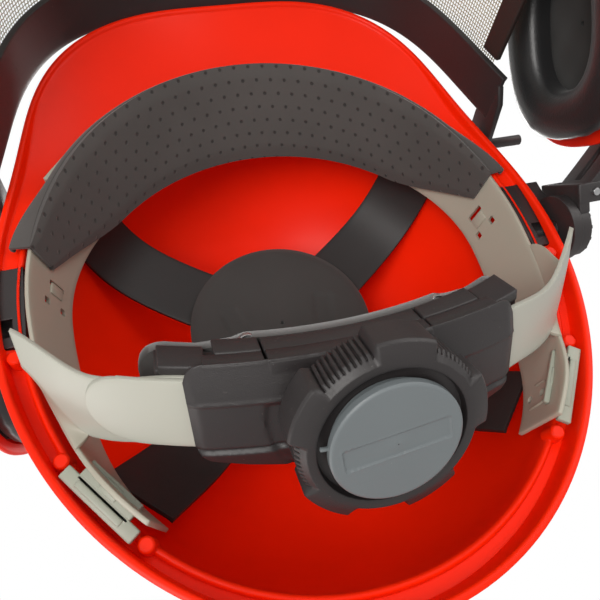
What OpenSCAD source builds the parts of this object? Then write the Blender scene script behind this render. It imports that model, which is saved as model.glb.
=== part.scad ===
// Forestry safety helmet: shell, harness with nape ratchet, mesh visor and ear muffs.
// Frame: +Z towards the crown, -Y towards the peak, +X towards the wearer's left.
// The origin is the centre of the crown pad's lower face, where the head rests.

/* [Shell] */
// Wall thickness of the shell
shell_t = 2.8; // [2.4:0.1:3.2]
// Height of the inner crown above the rim
crown_h = 118; // [112:1:126]
// Half width of the dome at the ridge
dome_hw = 100.5; // [99.5:0.5:101.5]
// Depth of the gutter bead
bead_h = 2.2; // [1:0.1:3]
// Stations around the rim
shell_n = 64; // [48:4:80]

/* [Harness] */
// Thickness of the headband
band_t = 1.6; // [1.2:0.1:2]
// Thickness of the brow pad
pad_t = 4.4; // [3:0.1:5]
// Radius of the crown pad
crown_pad_r = 45; // [40:1:48]
// Width of a crown strap
arm_w = 31; // [24:1:32]

/* [Nape ratchet] */
// Tilt of the knob axis below the horizontal
nape_tilt = 35; // [35:1:35]
// Knob radius over the lobes
knob_r = 28; // [27:0.5:29]
// Radius of the knob cap
cap_r = 18.2; // [17:0.1:18.3]
// Pinion module
mod = 1.5; // [1.5:0.1:1.5]
// Pinion teeth
pinion_z = 8; // [8:1:8]
// Radius of the strap arc
arc_r = 131; // [131:1:131]

/* [Visor] */
// Height of the mesh below the arch
mesh_h = 135; // [110:5:150]
// Thickness of the mesh sheet
mesh_t = 0.9; // [0.7:0.1:1.2]
// Width of the edge binding
bind_w = 9; // [7:0.5:10]

/* [Ear muffs] */
// Swing of the +X arm forward of straight down
swing_l = 50; // [0:1:55]
// Swing of the -X arm back and up
swing_r = 196; // [160:1:200]
// Fore and aft size of a cup
cup_w = 74; // [70:1:76]
// Tall size of a cup
cup_h = 92; // [86:1:94]

/* [Hidden] */

c_shell = [1, 0.27, 0.04];
c_band = [0.74, 0.72, 0.66];
c_clip = [0.62, 0.64, 0.58];
c_foam = [0.33, 0.31, 0.29];
c_black = [0.2, 0.18, 0.18];
c_cap = [0.5, 0.52, 0.54];
c_mesh = [0.8, 0.77, 0.68];
c_steel = [0.7, 0.7, 0.72];

// Every piece is drawn from the middle of the rim, then placed from the crown pad's face
module placed() translate([0, -5, 4 - hub_z]) children();

// ---------- shared curves ----------
cy = 8;            // dome centre along Y
// Rim outline, as a polar series about a point 42.8 behind the peak side
function rim_r(t) = 123.05 + 33.83*cos(t) + 15.82*cos(2*t) + 7.18*cos(3*t) - 2.66*cos(4*t) + 2.2*cos(5*t);
function rim_xy(t) = [rim_r(t)*sin(t), rim_r(t)*cos(t) - 42.8];
function rim_z(t) = -5.1*cos(2*t) + 0.35*cos(3*t);
function sm(a, b, x) = let(u = max(0, min(1, (x - a)/(b - a)))) u*u*(3 - 2*u);
// Angle from the back, seen from the dome centre
function dir_a(p) = atan2(p[0], p[1] - cy);
function dome_r(a) = pow(pow(abs(sin(a))/dome_hw, 2.05) + pow(abs(cos(a))/(cos(a) > 0 ? 118 : 108), 2.05), -1/2.05);
// Front weight: 1 over the peak, 0 at the sides and back
function wf(a) = sm(105, 140, abs(a));
function ridge_z(a) = 8 + 10*wf(a);
function dome_pt(a, r0, z0, h, f, n=2.2) = let(q = pow(cos(f), 2/n), s = pow(sin(f), 2/n)) [r0*q*sin(a), cy + r0*q*cos(a), z0 + (h - z0)*s];

// Triangles of a grid of closed rings, with optional fans
function ring_faces(m, n) = [for (i = [0:m-2], j = [0:n-1]) each let(a = i*n + j, b = i*n + (j+1)%n, c = (i+1)*n + (j+1)%n, d = (i+1)*n + j) [[a, b, c], [a, c, d]]];
// Open sweep: every section is a closed loop of k points, with both ends capped by flat fans
module sweep(secs, r = 0) {
  n = len(secs); k = len(secs[0]);
  pts = [for (s = secs) each s];
  polyhedron(points = pts, convexity = 8, faces = concat(
    [for (i = [0:n-2], j = [0:k-1]) each let(a = i*k + j, b = i*k + (j+1)%k, c = (i+1)*k + (j+1)%k, d = (i+1)*k + j) [[a, b, c], [a, c, d]]],
    [[for (j = [k-1:-1:0]) (j + r) % k]], [[for (j = [0:k-1]) (n-1)*k + j]]));
}

// ---------- shell ----------
function shell_sec(t) =
  let(p = rim_xy(t), a = dir_a(p), rr = norm([p[0], p[1] - cy]), rb = dome_r(a), w = wf(a),
      zb = ridge_z(a), zr = rim_z(t), L = rr - rb, ze = zb - 1 + (zr + 1.8 - zb + 1)*w,
      P = function(e, z) [(rb + e)*sin(a), cy + (rb + e)*cos(a), z],
      b = bead_h*(1 - w), e0 = 2.7, e1 = L - 3.2,
      zm = function(s) zb + (ze - zb)*pow(s, 1.2))
  concat(
    [for (f = [80, 68, 56, 45, 35, 26, 17, 8]) dome_pt(a, rb, zb, crown_h, f)],
    [P(0, zb), P(0.5, zb - b), P(2.1, zb - b), P(e0, zb + 0.01)],
    [for (s = [0.33, 0.67, 1]) P(e0 + (e1 - e0)*s, zm(s))],
    [P(L - 2.7, min(ze - 0.3, zr + 1.2)), P(L - 2.2, zr), P(L - 0.5, zr), P(L, zr + 0.7)],
    [P(L, ze + shell_t + 1.4 - 1.2*w), P(L - 0.5, ze + shell_t + 2.1 - 1.7*w), P(L - 1.9, ze + shell_t + 2.1 - 1.7*w), P(L - 2.9, ze + shell_t)],
    [for (s = [0.67, 0.33]) P(e0 + (e1 - e0)*s, zm(s) + shell_t)],
    [P(shell_t + 0.3, zb + shell_t + 0.1)],
    [for (f = [8, 17, 26, 35, 45, 56, 68, 80]) dome_pt(a, rb + shell_t, zb + shell_t*0.6, crown_h + shell_t, f)]);

module shell_body() {
  secs = [for (i = [0:shell_n-1]) shell_sec(i*360/shell_n)];
  m = len(secs[0]);
  pts = concat([for (j = [0:m-1]) each [for (i = [0:shell_n-1]) secs[i][j]]], [[0, cy, crown_h], [0, cy, crown_h + shell_t]]);
  nv = m*shell_n;
  polyhedron(points = pts, convexity = 10, faces = concat(ring_faces(m, shell_n),
    [for (i = [0:shell_n-1]) [nv, (i+1)%shell_n, i]],
    [for (i = [0:shell_n-1]) [nv + 1, (m-1)*shell_n + i, (m-1)*shell_n + (i+1)%shell_n]]));
}
// Clip stations: centre, inward heading and height of the flange
clip_rear = [79.4, 82.3, 36.5];
clip_front = [82.5, -58.5, -38];
module at_clip(c, side) translate([side*c[0], c[1], 0]) rotate([0, 0, side > 0 ? c[2] : 180 - c[2]]) children();
module shell() color(c_shell) difference() {
  union() {
    shell_body();
    for (s = [-1, 1]) {
      for (q = [[90.3, 67.5], [68.8, 97.6], [102.6, 29.5]]) translate([s*q[0], q[1], 0.8]) cylinder(r = 2.6, h = 8.4, $fn = 32);
    }
  }
  for (s = [-1, 1]) {
    // pocket for the blade of each rear clip
    at_clip(clip_rear, s) translate([-0.6, -11, 2]) cube([3, 22, 12]);
    // accessory slot through the side
    translate([s > 0 ? 97 : -118, -9, 5.9]) cube([21, 33, 7.6]);
  }
}

module clip(front) {
  zf = front ? 6.6 : 0.5;
  if (front) translate([-1, -11, zf]) cube([2.8, 22, 2.2]);
  else translate([-1, -15, zf]) cube([4.6, 30, 2.2]);
  translate([front ? -1 : -0.1, -10.5, zf]) cube([2, 21, front ? 5.4 : 13]);
  translate([front ? -2.9 : -6.5, -10.5, zf]) cube([front ? 3.4 : 6, 21, 2]);
}
module suspension_clips() color(c_clip) for (s = [-1, 1]) {
  at_clip(clip_rear, s) clip(false);
  at_clip(clip_front, s) clip(true);
}

// ---------- headband ----------
// Angle a runs from the front centre (0) past the side (90) to the rear ends (142)
front_n = 2;
function fs(a) = abs(a) < 90 ? sign(a)*pow(abs(sin(a)), 2/front_n) : sin(a);
function fc(a) = abs(a) < 90 ? pow(cos(a), 2/front_n) : cos(a);
function bd_lo(a) = let(q = abs(a)) [98*fs(a), 5 - (q < 90 ? 103 : 118.5)*fc(a), 3 + 2*sm(40, 90, q) - 2*sm(95, 112, q) - 10.5*sm(112, 132, q)];
function bd_hi(a) = let(q = abs(a)) [(89.5 + 5*sm(100, 135, q))*fs(a), 5 - (q < 90 ? 77 : 118)*fc(a), 34 - 2*sm(40, 90, q) - 14*sm(95, 140, q)];
function unit(v) = v/norm(v);
// Point p millimetres up the band from its lower edge, and q millimetres towards the head
function bd_n(a) = let(t = unit(bd_lo(a + 0.5) - bd_lo(a - 0.5)), u = unit(bd_hi(a) - bd_lo(a))) unit(cross(u, t));
function bd_pt(a, p, q) = bd_lo(a) + unit(bd_hi(a) - bd_lo(a))*p + bd_n(a)*q;
function bd_len(a) = norm(bd_hi(a) - bd_lo(a));
band_end = 138;
module headband() color(c_band) difference() {
  union() {
    sweep([for (i = [-30:30]) let(a = i*band_end/30, h = bd_len(a)) [bd_pt(a, 0, -band_t), bd_pt(a, h, -band_t), bd_pt(a, h, 0), bd_pt(a, 0, 0)]]);
  }
  for (s = [-1, 1]) {
    // comfort slots beside the brow pad
    for (z = [-5, 5]) slot_at(s) translate([-6, z, -3]) cube([3, 3, 6], center = true);
    slot_at(s) translate([3, 0, 0]) cube([2.2, 9, 8], center = true);
    // each rear clip's tongue passes through a slot
    at_clip(clip_rear, s) translate([-14, -10.9, 0.2]) cube([13.5, 21.8, 2.6]);
    // holes near the rear ends
    for (z = [-4, 4]) rear_at(s) translate([0, z, -4]) cylinder(r = 1.5, h = 8, $fn = 32);
  }
}
// Frames on the side wall: local z points towards the head
function side_n(a) = bd_n(a);
module side_frame(a, p) { o = bd_pt(a, p, 0); n = bd_n(a); translate(o) rotate([0, acos(n[2]), atan2(n[1], n[0])]) children(); }
module slot_at(s) side_frame(s*84, 17) children();
module rear_at(s) side_frame(s*131, 18) children();

function bd_out(a) = let(n = bd_n(a)) unit([-n[0], -n[1], 0]);
module brow_pad() color(c_foam) sweep([for (i = [-22:22]) let(a = i*3.6, q = abs(a), h = bd_len(a) + 0.5, e = 1 - 0.45*pow(q/79.2, 8), g = 0.9, fl = 4.5*sm(60, 80, q),
    top = q < 48 ? h : h*(1 - 0.58*pow((q - 48)/31.2, 1.8)))
  [bd_pt(a, -1, g), bd_pt(a, top, g), bd_pt(a, top, 2.4), bd_pt(a, top - 2.5, pad_t*e), bd_pt(a, 1.5, pad_t*e), bd_pt(a, -2.4, 2.6), bd_pt(a, -2.3, -1.9) + bd_out(a)*fl, bd_pt(a, -1, -1.9) + bd_out(a)*fl]], 1);

// ---------- crown cradle ----------
hub_z = 73;
front_arm = [[36, 74], [50, 73], [62, 71], [72, 68], [80, 63.5], [86, 57.5], [90.5, 50], [93.6, 41.5], [95.2, 32], [96, 22]];
rear_arm = [[36, 74], [47, 73.3], [57, 71], [66, 67], [74, 61.5], [81, 54.5], [87.5, 46], [93.5, 37.5], [99, 29.5], [103.4, 23.5]];
module arm(az) {
  q = abs(az) < 90 ? front_arm : rear_arm;
  P = function(i) [sin(az)*q[i][0], 5 - cos(az)*q[i][0], q[i][1]];
  sweep([for (i = [0:9]) let(p = P(i), t = unit(P(min(9, i + 1)) - P(max(0, i - 1))), w = [cos(az), sin(az), 0], n = unit(cross(t, w)), hw = arm_w/2 - 0.15*i)
    [p + w*hw, p - w*hw, p - w*hw + n*1.6, p + w*hw + n*1.6]]);
}
module crown_cradle() color(c_black) {
  union() {
    translate([0, 5, hub_z + 0.2]) cylinder(r = 44, h = 2.2, $fn = 96);
    for (az = [56, -56, 136, -136]) arm(az);
  }
}
module crown_pad() color(c_black) difference() {
  translate([0, 5, hub_z - 4]) cylinder(r = crown_pad_r, h = 4, $fn = 128);
  for (s = [-1, 1]) translate([s*22, 3, hub_z - 4.1]) rotate([0, 0, s*12]) cube([10, 20, 2.4], center = true);
}

// ---------- nape ratchet, in its own tilted frame ----------
nape_o = [0, 82.3, -28.9];
module nape() translate(nape_o) rotate([270 - nape_tilt, 0, 0]) children();
zc = -4 - arc_r;   // centre of the strap arc along the knob axis
pitch = PI*mod;
pr = mod*pinion_z/2;
module drum(c, r, w, fn=200) translate([0, 0, c]) rotate([90, 0, 0]) cylinder(r = r, h = w, center = true, $fn = fn);
module arc_shell(c, ro, ri, w) difference() { drum(c, ro, w); drum(c, ri, w + 2); }

// Strap outline on the +X side, from the tail end to the tip
function strap_up(x) = x < 52 ? -9 : -9 - 3*sm(52, 78, x) + 21*sm(80, 98, x);
function strap_dn(x) = x < 50 ? 13.5 : 13.5 - 2.5*sm(50, 72, x) + 10*sm(74, 97, x);
module strap_outline(tail) polygon(concat(
  [for (i = [0:24]) let(x = 48 + i*49/24) [x, strap_up(x)]],
  [for (i = [24:-1:0]) let(x = 48 + i*49/24) [x, strap_dn(x)]],
  [for (i = [0:12]) let(a = 90 + i*15) [-tail + 11 + 11*cos(a), 2 + 10.6*sin(a)]]));
// Long slot with teeth along one side, from pitch i0 to pitch i1
module rack_slot(r, i0, i1, y) {
  X = function(u) r*sin(u/r*180/PI);
  translate([0, 0, -25]) linear_extrude(height = 40) polygon(concat(
    [[X((i0 - 0.5)*pitch), y*7.9], [X((i0 - 0.5)*pitch), -y*8.3], [X((i1 + 0.5)*pitch), -y*8.3], [X((i1 + 0.5)*pitch), y*7.9]],
    [for (i = [i1:-1:i0], q = [[1.4, 7.9], [0.65, 5.1], [-0.65, 5.1], [-1.4, 7.9]]) [X(i*pitch + q[0]), y*q[1]]]));
}
module strap(ro, ri, tail, i0, i1, y) difference() {
  intersection() {
    arc_shell(zc, ro, ri, 70);
    translate([0, 0, -60]) linear_extrude(height = 70) strap_outline(tail);
  }
  rack_slot((ro + ri)/2, i0, i1, y);
}
// The left strap's tail lies outermost, over the right strap
module nape_strap_left() color(c_band) nape() strap(arc_r + 1.7, arc_r + 0.15, 78, -3, 6, 1);
module nape_strap_right() color(c_band) nape() mirror([1, 0, 0]) strap(arc_r - 0.15, arc_r - 1.7, 46, -3, 6, -1);

cover_pts = [[-50, 14], [-45.5, 19], [45.5, 19], [50, 14], [48.5, 8], [49.5, -8.5], [47, -12], [36, -15], [20, -18], [-20, -18], [-36, -15], [-47, -12], [-49.5, -8.5], [-48.5, 8]];
screw_at = [[-30, 16.2], [30, 16.2], [-24, -13.2], [24, -13.2]];
module ratchet_cover() color(c_black) nape() difference() {
  union() {
    intersection() {
      union() {
        arc_shell(-150, 150, 147.8, 60);
        // side walls of the strap channel
        intersection() { arc_shell(-150, 149, 141.5, 60); union() { translate([-44, 14.6, -40]) cube([88, 4.2, 60]); translate([-34, -16, -40]) cube([68, 5.6, 60]); } }
      }
      translate([0, 0, -40]) linear_extrude(height = 60) polygon(cover_pts);
    }
    translate([0, 0, -2]) cylinder(r = 19.5, h = 2.6, $fn = 96);
    // ratchet ring for the detent
    difference() { translate([0, 0, 0.3]) cylinder(r = 17.4, h = 3.9, $fn = 96); translate([0, 0, 0.6]) cylinder(r = 15, h = 6, $fn = 96);
      for (i = [0:23]) rotate([0, 0, i*15]) translate([15, 0, 0.6]) rotate([0, 0, 45]) translate([-0.7, -0.7, 0]) cube([1.4, 1.4, 6]); }
  }
  translate([0, 0, -12]) cylinder(r = 8.2, h = 9.9, $fn = 64);
  translate([0, 0, -12]) cylinder(r = 4.96, h = 20, $fn = 64);
  for (q = screw_at) translate([q[0], q[1], -20]) cylinder(r = 1.3, h = 16, $fn = 32);
}
module ratchet_base() color(c_black) nape() difference() {
  intersection() {
    difference() { drum(zc, arc_r - 2.1, 28); drum(-127, 111.5, 60); }
    translate([-57, -10.2, -60]) cube([114, 24.6, 70]);
  }
  for (x = [-1, 1]) translate([x*46, 20, -60]) rotate([0, 0, x*28]) cube([14, 8, 100], center = true);
  translate([0, 0, -10]) cylinder(r = 4.06, h = 6, $fn = 64);
}
module ratchet_flange() nape() difference() {
  intersection() {
    difference() { drum(-150, 141.2, 35); drum(-127, 111.5, 60); }
    union() { translate([-40, 12.9, -40]) cube([80, 5.7, 60]); translate([-32, -15.6, -40]) cube([64, 6.6, 60]); }
  }
  for (q = screw_at) translate([q[0], q[1], -30]) cylinder(r = 1.5, h = 40, $fn = 32);
}
module ratchet_screws() color(c_steel) nape() for (q = screw_at) translate([q[0], q[1], 0]) {
  z = -150 + sqrt(141.2*141.2 - q[0]*q[0]);
  zi = -127 + sqrt(111.5*111.5 - q[0]*q[0]);
  translate([0, 0, zi - 1.4]) cylinder(r = 1.2, h = z - zi + 4, $fn = 32);
  translate([0, 0, zi - 2.4]) cylinder(r = 2.4, h = 1.3, $fn = 32);
}
module ratchet_pinion() color(c_clip) nape() difference() {
  union() {
    translate([0, 0, -9.6]) cylinder(r = 4, h = 4, $fn = 64);
    translate([0, 0, -5.95]) linear_extrude(height = 3.6) union() {
      circle(r = 4.5, $fn = 48);
      for (i = [0:pinion_z-1]) rotate([0, 0, (i + 0.5)*360/pinion_z]) polygon([[3.5, -1.25], [5.2, -1.12], [6.2, -0.82], [7.15, -0.4], [7.15, 0.4], [6.2, 0.82], [5.2, 1.12], [3.5, 1.25]]);
    }
    translate([0, 0, -2.5]) cylinder(r = 4.9, h = 5.6, $fn = 64);
    translate([0, 0, 3]) cylinder(r = 4.4, h = 3.4, $fn = 6);
  }
  translate([0, 0, -12]) cylinder(r = 1.6, h = 30, $fn = 32);
}
module detent_spring() color(c_clip) nape() difference() {
  union() {
    translate([0, 0, 1.4]) cylinder(r = 8.5, h = 2.2, $fn = 64);
    for (i = [0:2]) rotate([0, 0, i*120]) {
      intersection() {
        difference() { translate([0, 0, 1.4]) cylinder(r = 14.6, h = 2.2, $fn = 96); translate([0, 0, 1]) cylinder(r = 12.9, h = 4, $fn = 96); }
        translate([0, 0, 0]) cube([20, 20, 6]);
      }
      translate([7.5, 0, 1.4]) cube([6.4, 2.4, 2.2]);
    }
  }
  translate([0, 0, 0]) cylinder(r = 5.2, h = 6, $fn = 64);
}
module knob_screw() color(c_steel) nape() {
  translate([0, 0, -8.5]) cylinder(r = 1.5, h = 17, $fn = 32);
  translate([0, 0, 8.1]) cylinder(r = 3.2, h = 2.2, $fn = 48);
}
// Knob outline: five smooth lobes and five ribbed hollows
function knob_pt(k, j) = let(a0 = k*72 + 9)
  j < 9 ? let(a = a0 - 17 + j*34/8) [knob_r*cos(a), knob_r*sin(a)] :
  let(i = j - 9, a = a0 + 20.5 + i*31/17, r = knob_r - 2.2 - ((floor(i/1.5) % 2 == 0) ? 0 : 0.9)) [r*cos(a), r*sin(a)];
module knob_outline() polygon([for (k = [0:4], j = [0:26]) knob_pt(k, j)]);
module ratchet_knob() color(c_black) nape() difference() {
  union() {
    translate([0, 0, 1.8]) linear_extrude(height = 11) knob_outline();
    translate([0, 0, 12.8]) cylinder(r1 = knob_r - 3.2, r2 = knob_r - 4.6, h = 1.4, $fn = 96);
    for (k = [0:4]) rotate([0, 0, k*72 + 9]) intersection() { translate([0, 0, 5]) cylinder(r = knob_r, h = 8.8, $fn = 96); rotate([0, 0, -16]) translate([18, 0, 0]) cube([20, 7, 20]); rotate([0, 0, 16]) translate([18, -7, 0]) cube([20, 7, 20]); }
  }
  translate([0, 0, 11.2]) cylinder(r = 20.4, h = 8, $fn = 96);
  translate([0, 0, 0]) cylinder(r = 18, h = 4.6, $fn = 96);
  translate([0, 0, 0]) cylinder(r = 5.2, h = 6.6, $fn = 64);
  translate([0, 0, 0]) cylinder(r = 1.7, h = 16, $fn = 32);
  translate([0, 0, 8]) cylinder(r = 3.5, h = 6, $fn = 48);
}
module knob_cap() color(c_cap) nape() difference() {
  union() {
    translate([0, 0, 14]) cylinder(r = cap_r, h = 2.2, $fn = 128);
    translate([0, 0, 16.2]) cylinder(r1 = cap_r, r2 = cap_r - 0.5, h = 0.4, $fn = 128);
    translate([0, 0, 11.4]) difference() { cylinder(r = 16.8, h = 2.7, $fn = 96); translate([0, 0, -1]) cylinder(r = 15, h = 5, $fn = 96); }
  }
  translate([0, 0, 16.4]) rotate([0, 0, 6]) cube([29.5, 7.2, 1.2], center = true);
}
module nape_pad() color(c_black) nape() intersection() {
  difference() { drum(-127, 111, 26.5); drum(-121, 98.5, 40); }
  union() {
    translate([-40, -8, -70]) cube([80, 26, 80]);
    for (x = [-1, 1]) translate([x*52, 4, -70]) cylinder(r = 10.5, h = 80, $fn = 48);
    translate([-52, -6.5, -70]) cube([104, 21, 80]);
  }
}

// ---------- visor ----------
vis_y = -44; vis_z = 18;
function out_n(t) = let(d = rim_xy(t + 0.5) - rim_xy(t - 0.5)) unit([-d[1], d[0]]);
// Point outside the rim: t is the rim angle, o the offset, z the height
function vis_pt(t, o, z) = let(p = rim_xy(t), n = out_n(t), f = 0.22*max(0, -z)) [p[0] + n[0]*(o + f*0.1), p[1] + n[1]*(o + f), z];
vis_t0 = 91; // rim angle of the arch ends
module visor_band(o0, o1, za, zb, t0, n=26) sweep([for (i = [0:n]) let(t = t0 + (360 - 2*t0)*i/n) [vis_pt(t, o0, za), vis_pt(t, o1, za), vis_pt(t, o1, zb), vis_pt(t, o0, zb)]]);
lug_x = 107.9;
module visor_arch() color(c_black) difference() {
  union() {
    visor_band(2.4, 5.2, 1, -20, vis_t0);
    for (s = [-1, 1]) {
      // side lugs up to the pivots
      translate([s*lug_x, vis_y, vis_z]) rotate([0, 90, 0]) cylinder(r = 7.5, h = 2.6, center = true, $fn = 48);
      translate([s*lug_x, 0, 0]) rotate([90, 0, 90]) linear_extrude(height = 2.6, center = true) polygon([[vis_y - 7.4, vis_z], [vis_y + 7.4, vis_z], [vis_y + 3, -10], [vis_y - 2, -16], [vis_y - 10, -16]]);
    }
  }
  for (s = [-1, 1]) translate([s*lug_x, vis_y, vis_z]) rotate([0, 90, 0]) cylinder(r = 3.06, h = 12, center = true, $fn = 48);
}
module visor_mesh() color(c_mesh) sweep([for (i = [0:mesh_n]) let(t = 97 + 166*i/mesh_n) [vis_pt(t, 5.6, -12), vis_pt(t, 5.6 + mesh_t, -12), vis_pt(t, 5.6 + mesh_t, -20 - mesh_h), vis_pt(t, 5.6, -20 - mesh_h)]]);
mesh_n = 37;
// The binding is a channel folded over the lower edge and both side edges of the mesh
bo0 = 4.7; bo1 = 5.5; bo2 = 5.7 + mesh_t; bo3 = 6.5 + mesh_t;
module visor_binding() color(c_black) {
  z1 = -20 - mesh_h; z2 = z1 - 0.2; z3 = z1 - 1.4; zt = z1 + bind_w;
  sweep([for (i = [-1:mesh_n + 1]) let(t = i < 0 ? 96 : i > mesh_n ? 264 : 97 + 166*i/mesh_n) [for (q = [[bo3, z3], [bo0, z3], [bo0, zt], [bo1, zt], [bo1, z2], [bo2, z2], [bo2, zt], [bo3, zt]]) vis_pt(t, q[0], q[1])]]);
  for (s = [-1, 1]) sweep([for (z = [-22, zt + 0.2]) let(e = 180 + s*84, f = e - s*0.6, g = e - s*(1 + 166/mesh_n)) [for (q = s > 0 ?
    [[e, bo0], [e, bo3], [g, bo3], [g, bo2], [f, bo2], [f, bo1], [g, bo1], [g, bo0]] : [[e, bo3], [e, bo0], [g, bo0], [g, bo1], [f, bo1], [f, bo2], [g, bo2], [g, bo3]]) vis_pt(q[0], q[1], z)]]);
}
// Brackets stand on the gutter beside the dome
module visor_brackets() color(c_black) for (s = [-1, 1]) mirror([s < 0 ? 1 : 0, 0, 0]) difference() {
  translate([0, 0, 14.4]) linear_extrude(height = 8.6) polygon([[87.1, vis_y - 10], [105.2, vis_y - 10], [105.2, vis_y + 10], [96.7, vis_y + 10], [92.5, vis_y]]);
  translate([102, vis_y, vis_z]) rotate([0, 90, 0]) cylinder(r = 2.5, h = 30, center = true, $fn = 48);
  translate([80, vis_y - 11, 14]) cube([17.5, 22, 3.4]);
}
module visor_pivot_pins() color(c_steel) for (s = [-1, 1]) translate([s*105.4, vis_y, vis_z]) rotate([0, s*90, 0]) {
  translate([0, 0, -9]) cylinder(r = 2.44, h = 9.1, $fn = 48);
  translate([0, 0, 0]) cylinder(r = 3, h = 4.2, $fn = 48);
  translate([0, 0, 4.1]) cylinder(r = 5, h = 1.4, $fn = 48);
}

// ---------- ear muffs ----------
muff_o = [118, 16, 8];
// Local frame: x outboard, -z down the arm
module muff(s) mirror([s < 0 ? 1 : 0, 0, 0]) translate(muff_o) rotate([s > 0 ? -swing_l : swing_r, 0, 0]) children();
module fixed_muff(s) mirror([s < 0 ? 1 : 0, 0, 0]) translate(muff_o) children();
module rx(r, x0, x1, fn=64) translate([x0, 0, 0]) rotate([0, 90, 0]) cylinder(r = r, h = x1 - x0, $fn = fn);

module slot_adapter(s) color(c_black) fixed_muff(s) difference() {
  union() {
    rx(14, -4.6, -0.3);
    translate([-18.2, -24.6, -1.7]) cube([16, 32.2, 6.8]);
    translate([-4.6, -24.6, -1.7]) cube([4.3, 32.2, 9]);
  }
  rx(3.95, -14, 2);
}
module swing_rivet(s) color(c_steel) fixed_muff(s) { rx(3.9, -4.5, 5.3); rx(6.2, 5.3, 6.9); }
module swing_base(s) color(c_black) muff(s) difference() {
  union() {
    rx(13, 0, 5);
    translate([0, -12, -18]) cube([5, 24, 12]);
    for (y = [-12, 9.3]) translate([0, y, -18]) cube([10.5, 2.7, 8]);
  }
  rx(3.97, -2, 8);
  rx(7, 5.02, 12);
  translate([7.5, 0, -14]) rotate([90, 0, 0]) cylinder(r = 1.56, h = 40, center = true, $fn = 32);
  translate([3.2, -9.25, -24]) cube([9, 18.5, 14.5]);
}
module tilt_pin(s) color(c_steel) muff(s) translate([7.5, 0, -14]) rotate([90, 0, 0]) { cylinder(r = 1.5, h = 26, center = true, $fn = 32); translate([0, 0, 12.4]) cylinder(r = 2.4, h = 1.2, $fn = 32); }
module muff_arm(s) color(c_black) muff(s) difference() {
  union() {
    translate([7.5, 0, -14]) rotate([90, 0, 0]) cylinder(r = 3.4, h = 18, center = true, $fn = 48);
    rotate([90, 0, 0]) linear_extrude(height = 18, center = true) polygon([[5.2, -16.5], [7.5, -17.4], [14.6, -23.8], [26.2, -34.8], [34.6, -45.2], [38.4, -56.6], [38.4, -62], [42.8, -62], [42.8, -55.4], [38.6, -42.8], [29.7, -31.2], [18, -20.2], [10.4, -12.6]]);
    translate([38.4, -6, -104]) cube([4.4, 12, 46]);
  }
  translate([7.5, 0, -14]) rotate([90, 0, 0]) cylinder(r = 1.56, h = 40, center = true, $fn = 32);
  // groove along the head side
  rotate([90, 0, 0]) linear_extrude(height = 3.4, center = true) polygon([[8, -19.5], [14.4, -25.6], [25.8, -36.6], [33.8, -46.6], [37.4, -57.4], [37.4, -100], [39.6, -100], [39.6, -56.4], [35.8, -45.4], [27.4, -34.4], [16, -23.4], [11, -19.5]]);
}
cup_z = -81;
module cup_yoke(s) color(c_black) muff(s) difference() {
  union() {
    translate([36.4, -9, cup_z - 9]) cube([8.6, 18, 22]);
    translate([30.3, -4.4, cup_z - 4.4]) cube([7, 8.8, 8.8]);
  }
  translate([38.3, -6.1, cup_z - 40]) cube([4.6, 12.2, 80]);
  translate([32.4, 0, cup_z]) rotate([90, 0, 0]) cylinder(r = 1.56, h = 40, center = true, $fn = 32);
}
module cup_pin(s) color(c_steel) muff(s) translate([32.4, 0, cup_z]) rotate([90, 0, 0]) cylinder(r = 1.5, h = 17, center = true, $fn = 32);
// Oval ring of a cup: size factor k at depth x
function oval(k, x, dw=0) = [for (i = [0:39]) let(a = i*9, c = cos(a), q = sin(a), n = 2.5, r = pow(pow(abs(c)/((cup_w/2)*k + dw), n) + pow(abs(q)/((cup_h/2)*k + dw), n), -1/n)) [x, r*c, cup_z + r*q]];
module solid_rings(r) { n = len(r); k = len(r[0]); polyhedron(points = [for (q = r) each q], convexity = 8, faces = concat(
    [for (i = [0:n-2], j = [0:k-1]) each let(a = i*k + j, b = i*k + (j+1)%k, c = (i+1)*k + (j+1)%k, d = (i+1)*k + j) [[a, c, b], [a, d, c]]],
    [[for (j = [0:k-1]) j]], [[for (j = [k-1:-1:0]) (n-1)*k + j]])); }
module ring_rings(r) { n = len(r); k = len(r[0]); polyhedron(points = [for (q = r) each q], convexity = 8, faces = [for (i = [0:n-1], j = [0:k-1]) each let(i2 = (i+1)%n, a = i*k + j, b = i*k + (j+1)%k, c = i2*k + (j+1)%k, d = i2*k + j) [[a, b, c], [a, c, d]]]); }
module ear_cup(s) color(c_shell) muff(s) {
  ring = [oval(1, 12.4), oval(1, 15), oval(0.96, 20), oval(0.84, 25), oval(0.6, 28), oval(0.3, 28.9)];
  inn = [oval(0.24, 26.4), oval(0.55, 25.6), oval(0.78, 22.6), oval(0.9, 18), oval(0.94, 12.4)];
  union() {
    ring_cup(ring, inn);
    for (y = [-8.2, 4.8]) difference() { translate([27, y, cup_z - 4]) cube([7.8, 3.4, 8]); translate([32.4, 0, cup_z]) rotate([90, 0, 0]) cylinder(r = 1.56, h = 40, center = true, $fn = 32); }
  }
}
module ring_cup(o, i) { a = concat(o, i); n = len(a); k = len(a[0]); m = len(o); nv = n*k; x0 = o[m-1][0][0]; x1 = i[0][0][0];
  polyhedron(points = concat([for (q = a) each q], [[x0, 0, cup_z], [x1, 0, cup_z]]), convexity = 8, faces = concat(
    [for (p = [0:n-1], j = [0:k-1]) if (p != m-1) each let(p2 = (p+1)%n, A = p*k + j, B = p*k + (j+1)%k, C = p2*k + (j+1)%k, D = p2*k + j) [[A, C, B], [A, D, C]]],
    [for (j = [0:k-1]) [nv, (m-1)*k + (j+1)%k, (m-1)*k + j]], [for (j = [0:k-1]) [nv + 1, m*k + j, m*k + (j+1)%k]])); }
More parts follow.
